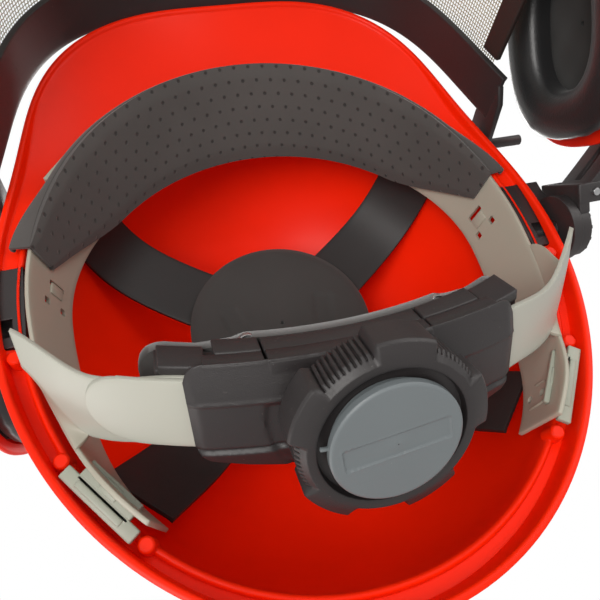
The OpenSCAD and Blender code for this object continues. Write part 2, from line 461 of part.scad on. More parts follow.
module ear_cushion(s) color(c_black) muff(s) ring_rings([oval(1, 12, -1), oval(1, 8, 1.2), oval(1, 4, 0.6), oval(1, 1.4, -3), oval(1, 0.2, -9), oval(1, 1.6, -15), oval(1, 5, -18), oval(1, 12, -18)]);
module ear_foam(s) color(c_foam) muff(s) solid_rings([oval(0.86, 14.2), oval(0.86, 17.4), oval(0.74, 20.4)]);

module slot_adapter_left() slot_adapter(1);
module slot_adapter_right() slot_adapter(-1);
module swing_rivet_left() swing_rivet(1);
module swing_rivet_right() swing_rivet(-1);
module swing_base_left() swing_base(1);
module swing_base_right() swing_base(-1);
module tilt_pin_left() tilt_pin(1);
module tilt_pin_right() tilt_pin(-1);
module muff_arm_left() muff_arm(1);
module muff_arm_right() muff_arm(-1);
module cup_yoke_left() cup_yoke(1);
module cup_yoke_right() cup_yoke(-1);
module cup_pin_left() cup_pin(1);
module cup_pin_right() cup_pin(-1);
module ear_cup_left() ear_cup(1);
module ear_cup_right() ear_cup(-1);
module ear_cushion_left() ear_cushion(1);
module ear_cushion_right() ear_cushion(-1);
module ear_foam_left() ear_foam(1);
module ear_foam_right() ear_foam(-1);

placed() shell();
placed() suspension_clips();
placed() headband();
placed() brow_pad();
placed() crown_cradle();
placed() crown_pad();
placed() nape_strap_left();
placed() nape_strap_right();
placed() { ratchet_base(); color(c_black) ratchet_flange(); }
placed() ratchet_cover();
placed() ratchet_screws();
placed() ratchet_pinion();
placed() detent_spring();
placed() knob_screw();
placed() ratchet_knob();
placed() knob_cap();
placed() nape_pad();
placed() visor_brackets();
placed() visor_pivot_pins();
placed() visor_arch();
placed() visor_mesh();
placed() visor_binding();
placed() slot_adapter_left();
placed() swing_rivet_left();
placed() swing_base_left();
placed() tilt_pin_left();
placed() muff_arm_left();
placed() cup_yoke_left();
placed() cup_pin_left();
placed() ear_cup_left();
placed() ear_cushion_left();
placed() ear_foam_left();
placed() slot_adapter_right();
placed() swing_rivet_right();
placed() swing_base_right();
placed() tilt_pin_right();
placed() muff_arm_right();
placed() cup_yoke_right();
placed() cup_pin_right();
placed() ear_cup_right();
placed() ear_cushion_right();
placed() ear_foam_right();
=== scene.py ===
import bpy, bmesh, math
import numpy as np
from mathutils import Vector, Matrix


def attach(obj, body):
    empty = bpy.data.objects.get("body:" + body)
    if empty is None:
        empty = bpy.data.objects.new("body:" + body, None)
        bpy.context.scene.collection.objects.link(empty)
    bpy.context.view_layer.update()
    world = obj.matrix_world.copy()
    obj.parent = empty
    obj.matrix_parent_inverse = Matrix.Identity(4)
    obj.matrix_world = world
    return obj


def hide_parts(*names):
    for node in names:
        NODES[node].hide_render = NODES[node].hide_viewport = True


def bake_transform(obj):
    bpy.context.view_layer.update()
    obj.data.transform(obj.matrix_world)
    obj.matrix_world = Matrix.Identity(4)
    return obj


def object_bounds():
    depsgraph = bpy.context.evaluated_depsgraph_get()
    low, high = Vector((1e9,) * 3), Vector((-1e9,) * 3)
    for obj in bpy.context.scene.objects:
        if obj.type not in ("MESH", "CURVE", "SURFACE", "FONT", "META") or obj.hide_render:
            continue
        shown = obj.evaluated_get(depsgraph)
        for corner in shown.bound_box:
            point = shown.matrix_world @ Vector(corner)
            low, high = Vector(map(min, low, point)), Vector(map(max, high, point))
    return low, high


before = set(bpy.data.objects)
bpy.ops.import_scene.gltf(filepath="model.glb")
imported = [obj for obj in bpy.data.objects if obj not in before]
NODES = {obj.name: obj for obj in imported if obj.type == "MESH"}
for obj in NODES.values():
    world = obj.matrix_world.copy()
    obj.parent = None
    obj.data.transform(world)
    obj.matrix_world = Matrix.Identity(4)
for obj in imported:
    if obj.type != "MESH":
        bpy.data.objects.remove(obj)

cad_lo, cad_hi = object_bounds()
cad_box = [[float(v) for v in cad_lo], [float(v) for v in cad_hi]]
S = 0.001
rad = math.radians


# ------------------------------------------------------------------ materials
def srgb(r, g, b):
    f = lambda c: c / 12.92 if c <= 0.04045 else ((c + 0.055) / 1.055) ** 2.4
    return (f(r), f(g), f(b), 1.0)


class Mat:
    """Small helper for node materials."""

    def __init__(self, name):
        self.m = bpy.data.materials.new(name)
        self.m.use_nodes = True
        self.t = self.m.node_tree
        self.t.nodes.clear()
        self.out = self.n("ShaderNodeOutputMaterial")

    def n(self, kind, **kw):
        x = self.t.nodes.new(kind)
        for k, v in kw.items():
            if k.startswith("i_"):
                x.inputs[k[2:].replace("_", " ")].default_value = v
            else:
                setattr(x, k, v)
        return x

    def l(self, a, b):
        self.t.links.new(a, b)

    def math(self, op, a, b=0.0, clamp=False):
        x = self.n("ShaderNodeMath", operation=op, use_clamp=clamp)
        for i, v in enumerate((a, b)):
            if hasattr(v, "links"):
                self.l(v, x.inputs[i])
            else:
                x.inputs[i].default_value = v
        return x.outputs[0]

    def mix(self, fac, a, b, mode="MIX"):
        x = self.n("ShaderNodeMix", data_type="RGBA", blend_type=mode)
        for s, v in ((x.inputs[0], fac), (x.inputs[6], a), (x.inputs[7], b)):
            if hasattr(v, "links"):
                self.l(v, s)
            else:
                s.default_value = v
        return x.outputs[2]

    def noise(self, scale, detail=3.0, rough=0.55, vec=None, stretch=None):
        tc = self.n("ShaderNodeTexCoord")
        src = tc.outputs["Object"] if vec is None else vec
        if stretch:
            mp = self.n("ShaderNodeMapping")
            mp.inputs["Scale"].default_value = stretch
            self.l(src, mp.inputs["Vector"])
            src = mp.outputs[0]
        x = self.n("ShaderNodeTexNoise")
        x.inputs["Scale"].default_value = scale
        x.inputs["Detail"].default_value = detail
        x.inputs["Roughness"].default_value = rough
        self.l(src, x.inputs["Vector"])
        return x.outputs["Fac"]

    def ramp(self, fac, stops):
        x = self.n("ShaderNodeValToRGB")
        e = x.color_ramp.elements
        while len(e) < len(stops):
            e.new(0.5)
        for k, (p, c) in enumerate(stops):
            e[k].position = p
            e[k].color = c if len(c) == 4 else (*c, 1)
        self.l(fac, x.inputs[0])
        return x.outputs[0]


def grey(v):
    return (v, v, v, 1)


def plastic(name, col, rough=0.4, var=0.08, grain=0.15, grain_scale=2200, scratch=0.25, coat=0.0, spec=0.5,
            wear=0.35, bevel=0.0005, transl=0.0, dust=0.0, sheen=0.0, rough_var=0.12):
    m = Mat(name)
    p = m.n("ShaderNodeBsdfPrincipled")
    big = m.noise(14, 4)
    small = m.noise(160, 3)
    dark = tuple(c * (1 - var) for c in col[:3]) + (1,)
    lite = tuple(min(1, c * (1 + var) + var * 0.01) for c in col[:3]) + (1,)
    c = m.mix(m.ramp(big, [(0.3, grey(0)), (0.7, grey(1))]), dark, lite)
    c = m.mix(m.math("MULTIPLY", small, var), c, lite)
    # moulded edges catch a paler wear line
    bv = m.n("ShaderNodeBevel", samples=3)
    bv.inputs["Radius"].default_value = max(bevel, 0.0004)
    geo = m.n("ShaderNodeNewGeometry")
    dot = m.n("ShaderNodeVectorMath", operation="DOT_PRODUCT")
    m.l(bv.outputs[0], dot.inputs[0])
    m.l(geo.outputs["Normal"], dot.inputs[1])
    edge = m.ramp(dot.outputs["Value"], [(0.80, grey(1)), (0.97, grey(0))])
    en = m.ramp(m.noise(420, 4), [(0.42, grey(0)), (0.62, grey(1))])
    em = m.math("MULTIPLY", edge, m.math("MULTIPLY", en, wear))
    pale = tuple(min(1, x * 1.5 + 0.07) for x in col[:3]) + (1,)
    c = m.mix(em, c, pale)
    # fine scuffs in two directions
    s1 = m.ramp(m.noise(90, 6, 0.7, stretch=(1, 14, 3)), [(0.60, grey(0)), (0.66, grey(1))])
    s2 = m.ramp(m.noise(75, 6, 0.7, stretch=(13, 1, 5)), [(0.61, grey(0)), (0.67, grey(1))])
    sc = m.math("MAXIMUM", s1, s2)
    if dust > 0:
        dm = m.ramp(m.noise(900, 5, 0.75), [(0.66, grey(0)), (0.72, grey(1))])
        c = m.mix(m.math("MULTIPLY", dm, dust), c, (0.55, 0.52, 0.48, 1))
    m.l(c, p.inputs["Base Color"])
    r = m.math("ADD", rough, m.math("MULTIPLY", m.math("SUBTRACT", big, 0.5), rough_var))
    r = m.math("ADD", r, m.math("MULTIPLY", sc, 0.10 * scratch / 0.25), clamp=True)
    m.l(r, p.inputs["Roughness"])
    b1 = m.n("ShaderNodeBump")
    b1.inputs["Strength"].default_value = grain
    b1.inputs["Distance"].default_value = 0.0002
    m.l(m.noise(grain_scale, 3, 0.6), b1.inputs["Height"])
    m.l(bv.outputs[0], b1.inputs["Normal"])
    b2 = m.n("ShaderNodeBump")
    b2.inputs["Strength"].default_value = scratch * 0.35
    b2.inputs["Distance"].default_value = 0.0001
    m.l(m.math("SUBTRACT", 1.0, sc), b2.inputs["Height"])
    m.l(b1.outputs[0], b2.inputs["Normal"])
    m.l(b2.outputs[0], p.inputs["Normal"])
    p.inputs["Specular IOR Level"].default_value = spec
    p.inputs["Coat Weight"].default_value = coat
    p.inputs["Coat Roughness"].default_value = 0.12
    p.inputs["Sheen Weight"].default_value = sheen
    if transl > 0:
        tr = m.n("ShaderNodeBsdfTranslucent")
        m.l(c, tr.inputs[0])
        mx = m.n("ShaderNodeMixShader")
        mx.inputs[0].default_value = transl
        m.l(p.outputs[0], mx.inputs[1])
        m.l(tr.outputs[0], mx.inputs[2])
        m.l(mx.outputs[0], m.out.inputs[0])
    else:
        m.l(p.outputs[0], m.out.inputs[0])
    return m.m


def foam_pad(name, col, holes=True, px=6.6, py=6.0, hr=0.75, rough=0.8):
    """Foam with a fine cell grain, and punched holes set out on the mesh's own UV in millimetres; each hole is bumped
    in and its disc is painted near-black as painted shade inside the hole.
    """
    m = Mat(name)
    p = m.n("ShaderNodeBsdfPrincipled")
    cell = m.noise(1500, 4, 0.7)
    big = m.noise(25, 3)
    c = m.mix(m.ramp(big, [(0.3, grey(0)), (0.7, grey(1))]), tuple(x * 0.86 for x in col[:3]) + (1,), tuple(x * 1.12 for x in col[:3]) + (1,))
    c = m.mix(m.math("MULTIPLY", cell, 0.35), c, tuple(x * 0.6 for x in col[:3]) + (1,))
    height = m.math("MULTIPLY", cell, 0.30)
    if holes:
        uv = m.n("ShaderNodeUVMap", uv_map="mm")
        sp = m.n("ShaderNodeSeparateXYZ")
        m.l(uv.outputs[0], sp.inputs[0])
        row = m.math("FLOOR", m.math("DIVIDE", sp.outputs[1], py))
        off = m.math("MULTIPLY", m.math("MODULO", m.math("ABSOLUTE", row), 2.0), px / 2)
        ux = m.math("SUBTRACT", m.math("PINGPONG", m.math("ADD", sp.outputs[0], off), px / 2), 0.0)
        vy = m.math("SUBTRACT", m.math("MULTIPLY", m.math("FRACT", m.math("DIVIDE", sp.outputs[1], py)), py), py / 2)
        d = m.math("SQRT", m.math("ADD", m.math("MULTIPLY", ux, ux), m.math("MULTIPLY", vy, vy)))
        hole = m.ramp(m.math("DIVIDE", d, 2 * hr), [(0.36, grey(1)), (0.62, grey(0))])
        # painted shade: each hole's disc is painted near-black to stand in for the shade inside the hole
        c = m.mix(m.math("MULTIPLY", hole, 0.9), c, (0.012, 0.008, 0.007, 1))
        height = m.math("SUBTRACT", height, m.math("MULTIPLY", hole, 3.0))
    m.l(c, p.inputs["Base Color"])
    p.inputs["Roughness"].default_value = rough
    p.inputs["Sheen Weight"].default_value = 0.25
    p.inputs["Sheen Roughness"].default_value = 0.5
    b = m.n("ShaderNodeBump")
    b.inputs["Strength"].default_value = 0.55
    b.inputs["Distance"].default_value = 0.0003
    m.l(height, b.inputs["Height"])
    m.l(b.outputs[0], p.inputs["Normal"])
    m.l(p.outputs[0], m.out.inputs[0])
    return m.m


def steel(name, col=(0.55, 0.55, 0.56, 1), rough=0.32):
    m = Mat(name)
    p = m.n("ShaderNodeBsdfPrincipled")
    p.inputs["Metallic"].default_value = 1.0
    n = m.noise(60, 5, 0.65, stretch=(1, 1, 30))
    c = m.mix(n, tuple(x * 0.8 for x in col[:3]) + (1,), tuple(min(1, x * 1.2) for x in col[:3]) + (1,))
    m.l(c, p.inputs["Base Color"])
    m.l(m.math("ADD", rough - 0.08, m.math("MULTIPLY", n, 0.2)), p.inputs["Roughness"])
    bv = m.n("ShaderNodeBevel", samples=3)
    bv.inputs["Radius"].default_value = 0.0004
    b = m.n("ShaderNodeBump")
    b.inputs["Strength"].default_value = 0.12
    b.inputs["Distance"].default_value = 0.0001
    m.l(n, b.inputs["Height"])
    m.l(bv.outputs[0], b.inputs["Normal"])
    m.l(b.outputs[0], p.inputs["Normal"])
    m.l(p.outputs[0], m.out.inputs[0])
    return m.m


ORANGE = (0.98, 0.021, 0.0005, 1)
M_SHELL = plastic("shell_plastic", ORANGE, rough=0.36, var=0.05, grain=0.05, grain_scale=900, scratch=0.22, coat=0.0, spec=0.22, wear=0.12, bevel=0.0006, transl=0.20, rough_var=0.06)
M_BAND = plastic("band_plastic", srgb(0.74, 0.72, 0.66), rough=0.38, var=0.03, grain=0.05, grain_scale=1500, scratch=0.2, coat=0.05, wear=0.25, bevel=0.0004, transl=0.30)
M_STRAP = plastic("strap_plastic", srgb(0.71, 0.71, 0.665), rough=0.36, var=0.03, grain=0.06, grain_scale=1500, scratch=0.3, coat=0.06, wear=0.3, bevel=0.0004, transl=0.10)
M_CLIP = plastic("clip_plastic", srgb(0.62, 0.635, 0.58), rough=0.42, var=0.05, grain=0.12, scratch=0.25, wear=0.3, bevel=0.0005, transl=0.08)
M_BLACK = plastic("black_plastic", (0.0215, 0.018, 0.0185, 1), rough=0.44, var=0.18, grain=0.30, grain_scale=2600, scratch=0.3, wear=0.55, bevel=0.0006, dust=0.25)
M_CRADLE = plastic("cradle_plastic", (0.013, 0.0105, 0.0105, 1), rough=0.55, var=0.18, grain=0.22, grain_scale=2000, scratch=0.2, wear=0.2, bevel=0.0004)
M_CAP = plastic("cap_plastic", srgb(0.41, 0.435, 0.445), rough=0.46, var=0.05, grain=0.16, grain_scale=2200, scratch=0.25, wear=0.5, bevel=0.0004, dust=0.18)
M_PAD = foam_pad("brow_foam", srgb(0.262, 0.243, 0.235))
M_SOFT = foam_pad("pad_foam", srgb(0.20, 0.19, 0.185), holes=False)
M_EARFOAM = foam_pad("ear_foam", srgb(0.16, 0.155, 0.15), holes=False, rough=0.9)
M_STEEL = steel("pin_steel")
M_WIRE = plastic("mesh_wire", srgb(0.66, 0.62, 0.52), rough=0.45, var=0.12, grain=0.1, scratch=0.2, wear=0.3, bevel=0.0004)
M_BIND = plastic("binding_rubber", srgb(0.17, 0.115, 0.10), rough=0.62, var=0.12, grain=0.4, grain_scale=1800, scratch=0.2, wear=0.2, bevel=0.0005)
M_CUSHION = plastic("cushion_skin", srgb(0.10, 0.10, 0.105), rough=0.42, var=0.10, grain=0.55, grain_scale=1100, scratch=0.1, wear=0.1, bevel=0.0004, coat=0.1, sheen=0.1)


def paint(node, mat):
    o = NODES[node]
    o.data.materials.clear()
    o.data.materials.append(mat)


SLOT_MAT = {}
for n in NODES:
    if n.startswith("ear_cup"):
        paint(n, M_SHELL)
    elif n == "shell":
        paint(n, M_SHELL)
    elif n in ("suspension_clips", "ratchet_pinion", "detent_spring"):
        paint(n, M_CLIP)
    elif n == "headband":
        paint(n, M_BAND)
    elif n.startswith("nape_strap"):
        paint(n, M_STRAP)
    elif n == "brow_pad" or n.startswith("ear_foam"):
        paint(n, M_SOFT)
    elif n.startswith("ear_cushion"):
        paint(n, M_CUSHION)
    elif n == "knob_cap":
        paint(n, M_CAP)
    elif n == "visor_mesh":
        paint(n, M_WIRE)
    elif n == "visor_binding":
        paint(n, M_BIND)
    elif n in ("ratchet_screws", "knob_screw", "visor_pivot_pins") or n.startswith(("swing_rivet", "tilt_pin", "cup_pin")):
        paint(n, M_STEEL)
    elif n.startswith("crown_c"):
        paint(n, M_CRADLE)
    else:
        paint(n, M_BLACK)

OFFS = np.array([0.0, -5.0, -69.0])
# ------------------------------------------------------------------ mesh helpers (millimetres in, metres out)
def finish_mesh(o, mat, sharp=35, bevel=0.0, seg=2, limit=50):
    me = o.data
    bm = bmesh.new()
    bm.from_mesh(me)
    bmesh.ops.recalc_face_normals(bm, faces=bm.faces)
    bm.to_mesh(me)
    bm.free()
    me.materials.clear()
    me.materials.append(mat)
    if bevel > 0:
        md = o.modifiers.new("edge", "BEVEL")
        md.width = bevel * S
        md.segments = seg
        md.limit_method = "ANGLE"
        md.angle_limit = rad(limit)
        md.harden_normals = False
        apply_mods(o)
    me = o.data
    me.shade_smooth()
    me.set_sharp_from_angle(angle=rad(sharp))
    return o


def apply_mods(o):
    dg = bpy.context.evaluated_depsgraph_get()
    dg.update()
    me = bpy.data.meshes.new_from_object(o.evaluated_get(dg))
    me.name = o.name
    o.modifiers.clear()
    o.data = me


def raw(name, verts, faces, M=None, uv=None):
    v = np.asarray(verts, float)
    if M is not None:
        v = v @ M[:3, :3].T + M[:3, 3]
    v = v + OFFS
    me = bpy.data.meshes.new(name)
    me.from_pydata((v * S).tolist(), [], [tuple(int(i) for i in f) for f in faces])
    me.update()
    o = bpy.data.objects.new(name, me)
    bpy.context.collection.objects.link(o)
    if uv is not None:
        lay = me.uv_layers.new(name="mm")
        idx = np.empty(len(me.loops), dtype=np.int32)
        me.loops.foreach_get("vertex_index", idx)
        lay.data.foreach_set("uv", np.asarray(uv, float)[idx].astype(np.float32).ravel())
    return o


def slab(name, A, B, mat, bevel=0.35, closed=False, uv=None, M=None, sharp=35, seg=2, limit=50):
    nu, nv = A.shape[:2]
    V = np.concatenate([A.reshape(-1, 3), B.reshape(-1, 3)])
    K = nu * nv
    F = []
    nI = nu if closed else nu - 1
    for i in range(nI):
        i2 = (i + 1) % nu
        for j in range(nv - 1):
            a, b_, c, d = i * nv + j, i2 * nv + j, i2 * nv + j + 1, i * nv + j + 1
            F.append((a, b_, c, d))
            F.append((K + d, K + c, K + b_, K + a))
        for j in (0, nv - 1):
            a, b_ = i * nv + j, i2 * nv + j
            F.append((a, K + a, K + b_, b_))
    if not closed:
        for i in (0, nu - 1):
            for j in range(nv - 1):
                a, b_ = i * nv + j, i * nv + j + 1
                F.append((a, b_, K + b_, K + a))
    if uv is not None:
        uv = np.concatenate([uv.reshape(-1, 2), uv.reshape(-1, 2)])
    return finish_mesh(raw(name, V, F, M, uv), mat, sharp, bevel, seg, limit)


def prism(name, poly, z0, z1, mat, bevel=0.4, M=None, seg=2, sharp=35, limit=40):
    n = len(poly)
    V = [(x, y, z0) for x, y in poly] + [(x, y, z1) for x, y in poly]
    F = [tuple(range(n - 1, -1, -1)), tuple(range(n, 2 * n))] + [(i, (i + 1) % n, n + (i + 1) % n, n + i) for i in range(n)]
    return finish_mesh(raw(name, V, F, M), mat, sharp, bevel, seg, limit)


def revolve(name, prof, mat, M=None, seg=96, sharp=35, bevel=0.0):
    """prof is a closed loop of (r, z); points on the axis have r 0."""
    V, F = [], []
    n = len(prof)
    for i in range(seg):
        a = 2 * math.pi * i / seg
        V += [(max(r_, 1e-4) * math.cos(a), max(r_, 1e-4) * math.sin(a), z) for r_, z in prof]
    for i in range(seg):
        i2 = (i + 1) % seg
        for j in range(n):
            j2 = (j + 1) % n
            if prof[j][0] < 1e-6 and prof[j2][0] < 1e-6:
                continue
            F.append((i * n + j, i2 * n + j, i2 * n + j2, i * n + j2))
    o = raw(name, V, F, M)
    bm = bmesh.new()
    bm.from_mesh(o.data)
    bmesh.ops.remove_doubles(bm, verts=bm.verts, dist=2e-6)
    bm.to_mesh(o.data)
    bm.free()
    return finish_mesh(o, mat, sharp, bevel)


def boxm(name, lo, hi, mat, bevel=0.4, M=None, seg=2):
    return prism(name, [(lo[0], lo[1]), (hi[0], lo[1]), (hi[0], hi[1]), (lo[0], hi[1])], lo[2], hi[2], mat, bevel, M, seg)


def join(name, objs):
    bm = bmesh.new()
    mats = []
    for o in objs:
        for m_ in o.data.materials:
            if m_ not in mats:
                mats.append(m_)
    for o in objs:
        k = mats.index(o.data.materials[0])
        n0 = len(bm.faces)
        tmp = o.data.copy()
        tmp.transform(o.matrix_world)
        bm.from_mesh(tmp)
        bm.faces.ensure_lookup_table()
        for f in bm.faces[n0:]:
            f.material_index = k
        bpy.data.meshes.remove(tmp)
    me = bpy.data.meshes.new(name)
    bm.to_mesh(me)
    bm.free()
    for m_ in mats:
        me.materials.append(m_)
    for o in objs:
        bpy.data.objects.remove(o)
    r_ = bpy.data.objects.new(name, me)
    bpy.context.collection.objects.link(r_)
    return r_


def cut(o, cutters, sharp=35, op="DIFFERENCE"):
    c = join("cutter", cutters) if len(cutters) > 1 else cutters[0]
    md = o.modifiers.new("cut", "BOOLEAN")
    md.operation = op
    md.object = c
    md.solver = "EXACT"
    bpy.context.view_layer.update()
    apply_mods(o)
    bpy.data.objects.remove(c)
    o.data.shade_smooth()
    o.data.set_sharp_from_angle(angle=rad(sharp))
    return o


def put(o, body, *nodes, slot=None):
    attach(o, body)
    if nodes:
        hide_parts(*nodes)
    return o


def mat4(ori=(0, 0, 0), rx=0.0, ry=0.0, rz=0.0, mir=1):
    m_ = Matrix.Translation(Vector(ori)) @ Matrix.Rotation(rad(rz), 4, "Z") @ Matrix.Rotation(rad(ry), 4, "Y") @ Matrix.Rotation(rad(rx), 4, "X")
    a = np.array(m_)
    if mir < 0:
        a = np.diag([-1.0, 1, 1, 1]) @ a
    return a


def sm(a, b_, x):
    q = np.clip((np.asarray(x, float) - a) / (b_ - a), 0, 1)
    return q * q * (3 - 2 * q)


# ------------------------------------------------------------------ shared curves
CY, DHW, CROWN, T, BEAD = 8.0, 100.5, 118.0, 2.8, 2.2


def rim_xy(t):
    a = np.radians(t)
    q = 123.05 + 33.83 * np.cos(a) + 15.82 * np.cos(2 * a) + 7.18 * np.cos(3 * a) - 2.66 * np.cos(4 * a) + 2.2 * np.cos(5 * a)
    return np.stack([q * np.sin(a), q * np.cos(a) - 42.8], -1)


def rim_z(t):
    a = np.radians(t)
    return -5.1 * np.cos(2 * a) + 0.35 * np.cos(3 * a)


def dome_r(a):
    a = np.radians(a)
    c = np.cos(a)
    return ((np.abs(np.sin(a)) / DHW) ** 2.05 + (np.abs(c) / np.where(c > 0, 118.0, 108.0)) ** 2.05) ** (-1 / 2.05)


def wf(a):
    return sm(105, 140, np.abs(a))


def chaikin(P, k=0.28):
    out = [P[0]]
    for i in range(len(P) - 1):
        out += [P[i] * (1 - k) + P[i + 1] * k, P[i] * k + P[i + 1] * (1 - k)]
    return out + [P[-1]]


def shell_loop(t):
    p = rim_xy(t)
    a = math.degrees(math.atan2(p[0], p[1] - CY))
    rr, rb, w_ = math.hypot(p[0], p[1] - CY), float(dome_r(a)), float(wf(a))
    zb, zr, L = 8 + 10 * w_, float(rim_z(t)), 0.0
    L = rr - rb
    ze = zb - 1 + (zr + 1.8 - zb + 1) * w_
    bd = BEAD * (1 - w_)
    e0, e1 = 2.7, L - 3.2
    zm = lambda s_: zb + (ze - zb) * s_ ** 1.2
    mid = [(0, zb), (0.4, zb - bd), (2.2, zb - bd), (e0, zb + 0.01)]
    mid += [(e0 + (e1 - e0) * s_, zm(s_)) for s_ in (0.1, 0.3, 0.5, 0.7, 0.9, 1)]
    mid += [(L - 2.8, min(ze - 0.3, zr + 1.4)), (L - 2.4, zr - 0.1), (L - 0.3, zr - 0.1), (L, zr + 0.6)]
    mid += [(L, ze + T + 1.4 - 1.2 * w_), (L - 0.4, ze + T + 2.2 - 1.8 * w_), (L - 2.0, ze + T + 2.2 - 1.8 * w_), (L - 2.9, ze + T)]
    mid += [(e0 + (e1 - e0) * s_, zm(s_) + T) for s_ in (0.9, 0.7, 0.5, 0.3, 0.1)] + [(T + 0.4, zb + T + 0.1)]
    mid = chaikin([np.array(q) for q in mid])
    fs = [86, 82, 78, 74, 70, 66, 62, 58, 54, 50, 46, 42, 38, 34, 30, 26, 22, 18, 14, 11, 8, 5.5, 3.5]
    dome = lambda f, r0, z0, h: (r0 * math.cos(rad(f)) ** (2 / 2.2), z0 + (h - z0) * math.sin(rad(f)) ** (2 / 2.2))
    out = [np.array(dome(f, rb, zb, CROWN)) for f in fs]
    out += [np.array((rb + q[0], q[1])) for q in mid]
    out += [np.array(dome(f, rb + T, zb + T * 0.6, CROWN + T)) for f in fs[::-1]]
    return np.array([(q[0] * math.sin(rad(a)), CY + q[0] * math.cos(rad(a)), q[1]) for q in out])


NS = 300
loops = [shell_loop(360 * i / NS) for i in range(NS)]
nk = len(loops[0])
V = np.concatenate(loops + [np.array([[0, CY, CROWN], [0, CY, CROWN + T]])])
F = []
for i in range(NS):
    i2 = (i + 1) % NS
    for j in range(nk - 1):
        F.append((i * nk + j, i2 * nk + j, i2 * nk + j + 1, i * nk + j + 1))
    F.append((NS * nk, i2 * nk, i * nk))
    F.append((NS * nk + 1, i * nk + nk - 1, i2 * nk + nk - 1))
shell = finish_mesh(raw("shell_body", V, F), M_SHELL, sharp=50)
CLIPS = {"rear": ((79.4, 82.3), 36.5), "front": ((82.5, -58.5), -38.0)}


def clip_m(which, s_):
    (cx, cy_), h = CLIPS[which]
    return mat4((s_ * cx, cy_, 0), rz=h if s_ > 0 else 180 - h)


cut(shell, [boxm("c", (97, -9, 5.9), (118, 24, 13.5), M_SHELL, 0.6), boxm("c", (-118, -9, 5.9), (-97, 24, 13.5), M_SHELL, 0.6),
            boxm("c", (-0.6, -11, 2), (2.4, 11, 14), M_SHELL, 0, clip_m("rear", 1)), boxm("c", (-0.6, -11, 2), (2.4, 11, 14), M_SHELL, 0, clip_m("rear", -1))], sharp=50)
bits = [shell]
for s_ in (-1, 1):
    for q in ((90.3, 67.5), (68.8, 97.6), (102.6, 29.5)):
        bits.append(revolve("boss", [(0, 2.2), (1.9, 2.2), (2.5, 2.8), (3.0, 9.2), (0, 9.2)], M_SHELL, mat4((s_ * q[0], q[1], 0)), 40, 30))
put(join("shell_moulding", bits), "helmet", "shell", slot="shell")


# ------------------------------------------------------------------ clips
def clip_piece(which, s_):
    M = clip_m(which, s_)
    rear = which == "rear"
    if not rear:
        z = 6.6
        return [prism("f", [(-1, -11), (1.8, -11), (1.8, 11), (-1, 11)], z, z + 2.2, M_CLIP, 0.4, M, 3),
                boxm("b", (-1, -10.5, z + 1), (1, 10.5, z + 5.4), M_CLIP, 0.3, M), boxm("t", (-2.9, -10.5, z), (0.5, 10.5, z + 2), M_CLIP, 0.4, M, 3)]
    z = 0.5
    o = [prism("f", [(-1, -15), (3.6, -15), (3.6, 15), (-1, 15)], z, z + 2.2, M_CLIP, 0.45, M, 3),
         boxm("b", (-0.1, -10.5, z + 1), (1.9, 10.5, z + 13), M_CLIP, 0.3, M),
         boxm("t", (-6.5, -10.5, z), (0.5, 10.5, z + 2), M_CLIP, 0.4, M, 3),
         boxm("r", (0.2, -9.2, z - 0.35), (2.4, 9.2, z + 0.3), M_CLIP, 0.25, M),
         boxm("n", (-5.6, -3.4, z - 0.35), (-1.4, 3.4, z + 0.3), M_CLIP, 0.25, M)]
    return o


put(join("clip_set", sum([clip_piece(k, s_) for k in ("rear", "front") for s_ in (-1, 1)], [])), "helmet", "suspension_clips", slot="clip")

# ------------------------------------------------------------------ headband
BT = 1.6


FN = 2.0


def band_sc(a):
    t = np.radians(a)
    fr = np.abs(a) < 90
    si, co = np.sin(t), np.cos(t)
    return (np.where(fr, np.sign(si) * np.abs(si) ** (2 / FN), si), np.where(fr, np.abs(co) ** (2 / FN), co))


def bd_lo(a):
    q = np.abs(a)
    si, co = band_sc(a)
    return np.stack([98 * si, 5 - np.where(q < 90, 103, 118.5) * co, 3 + 2 * sm(40, 90, q) - 2 * sm(95, 112, q) - 10.5 * sm(112, 132, q)], -1)


def bd_hi(a):
    q = np.abs(a)
    si, co = band_sc(a)
    return np.stack([(89.5 + 5 * sm(100, 135, q)) * si, 5 - np.where(q < 90, 77, 118) * co, 34 - 2 * sm(40, 90, q) - 14 * sm(95, 140, q)], -1)


def unit(v):
    return v / np.linalg.norm(v, axis=-1, keepdims=True)


def bd_frame(a):
    lo, hi = bd_lo(a), bd_hi(a)
    uu = unit(hi - lo)
    nn = unit(np.cross(uu, unit(bd_lo(a + 0.5) - bd_lo(a - 0.5))))
    return lo, uu, nn, np.linalg.norm(hi - lo, axis=-1)


def bd_pt(a, p, q):
    lo, uu, nn, h = bd_frame(np.asarray(a, float))
    return lo + uu * np.asarray(p, float)[..., None] + nn * np.asarray(q, float)[..., None]


def side_m(a, p, spin=0.0):
    lo, uu, nn, h = bd_frame(np.array(float(a)))
    xx = unit(np.cross(uu, nn))
    M = np.eye(4)
    M[:3, 0], M[:3, 1], M[:3, 2], M[:3, 3] = xx, uu, nn, lo + uu * p
    if spin:
        M = M @ np.array(Matrix.Rotation(rad(spin), 4, "Z"))
    return M


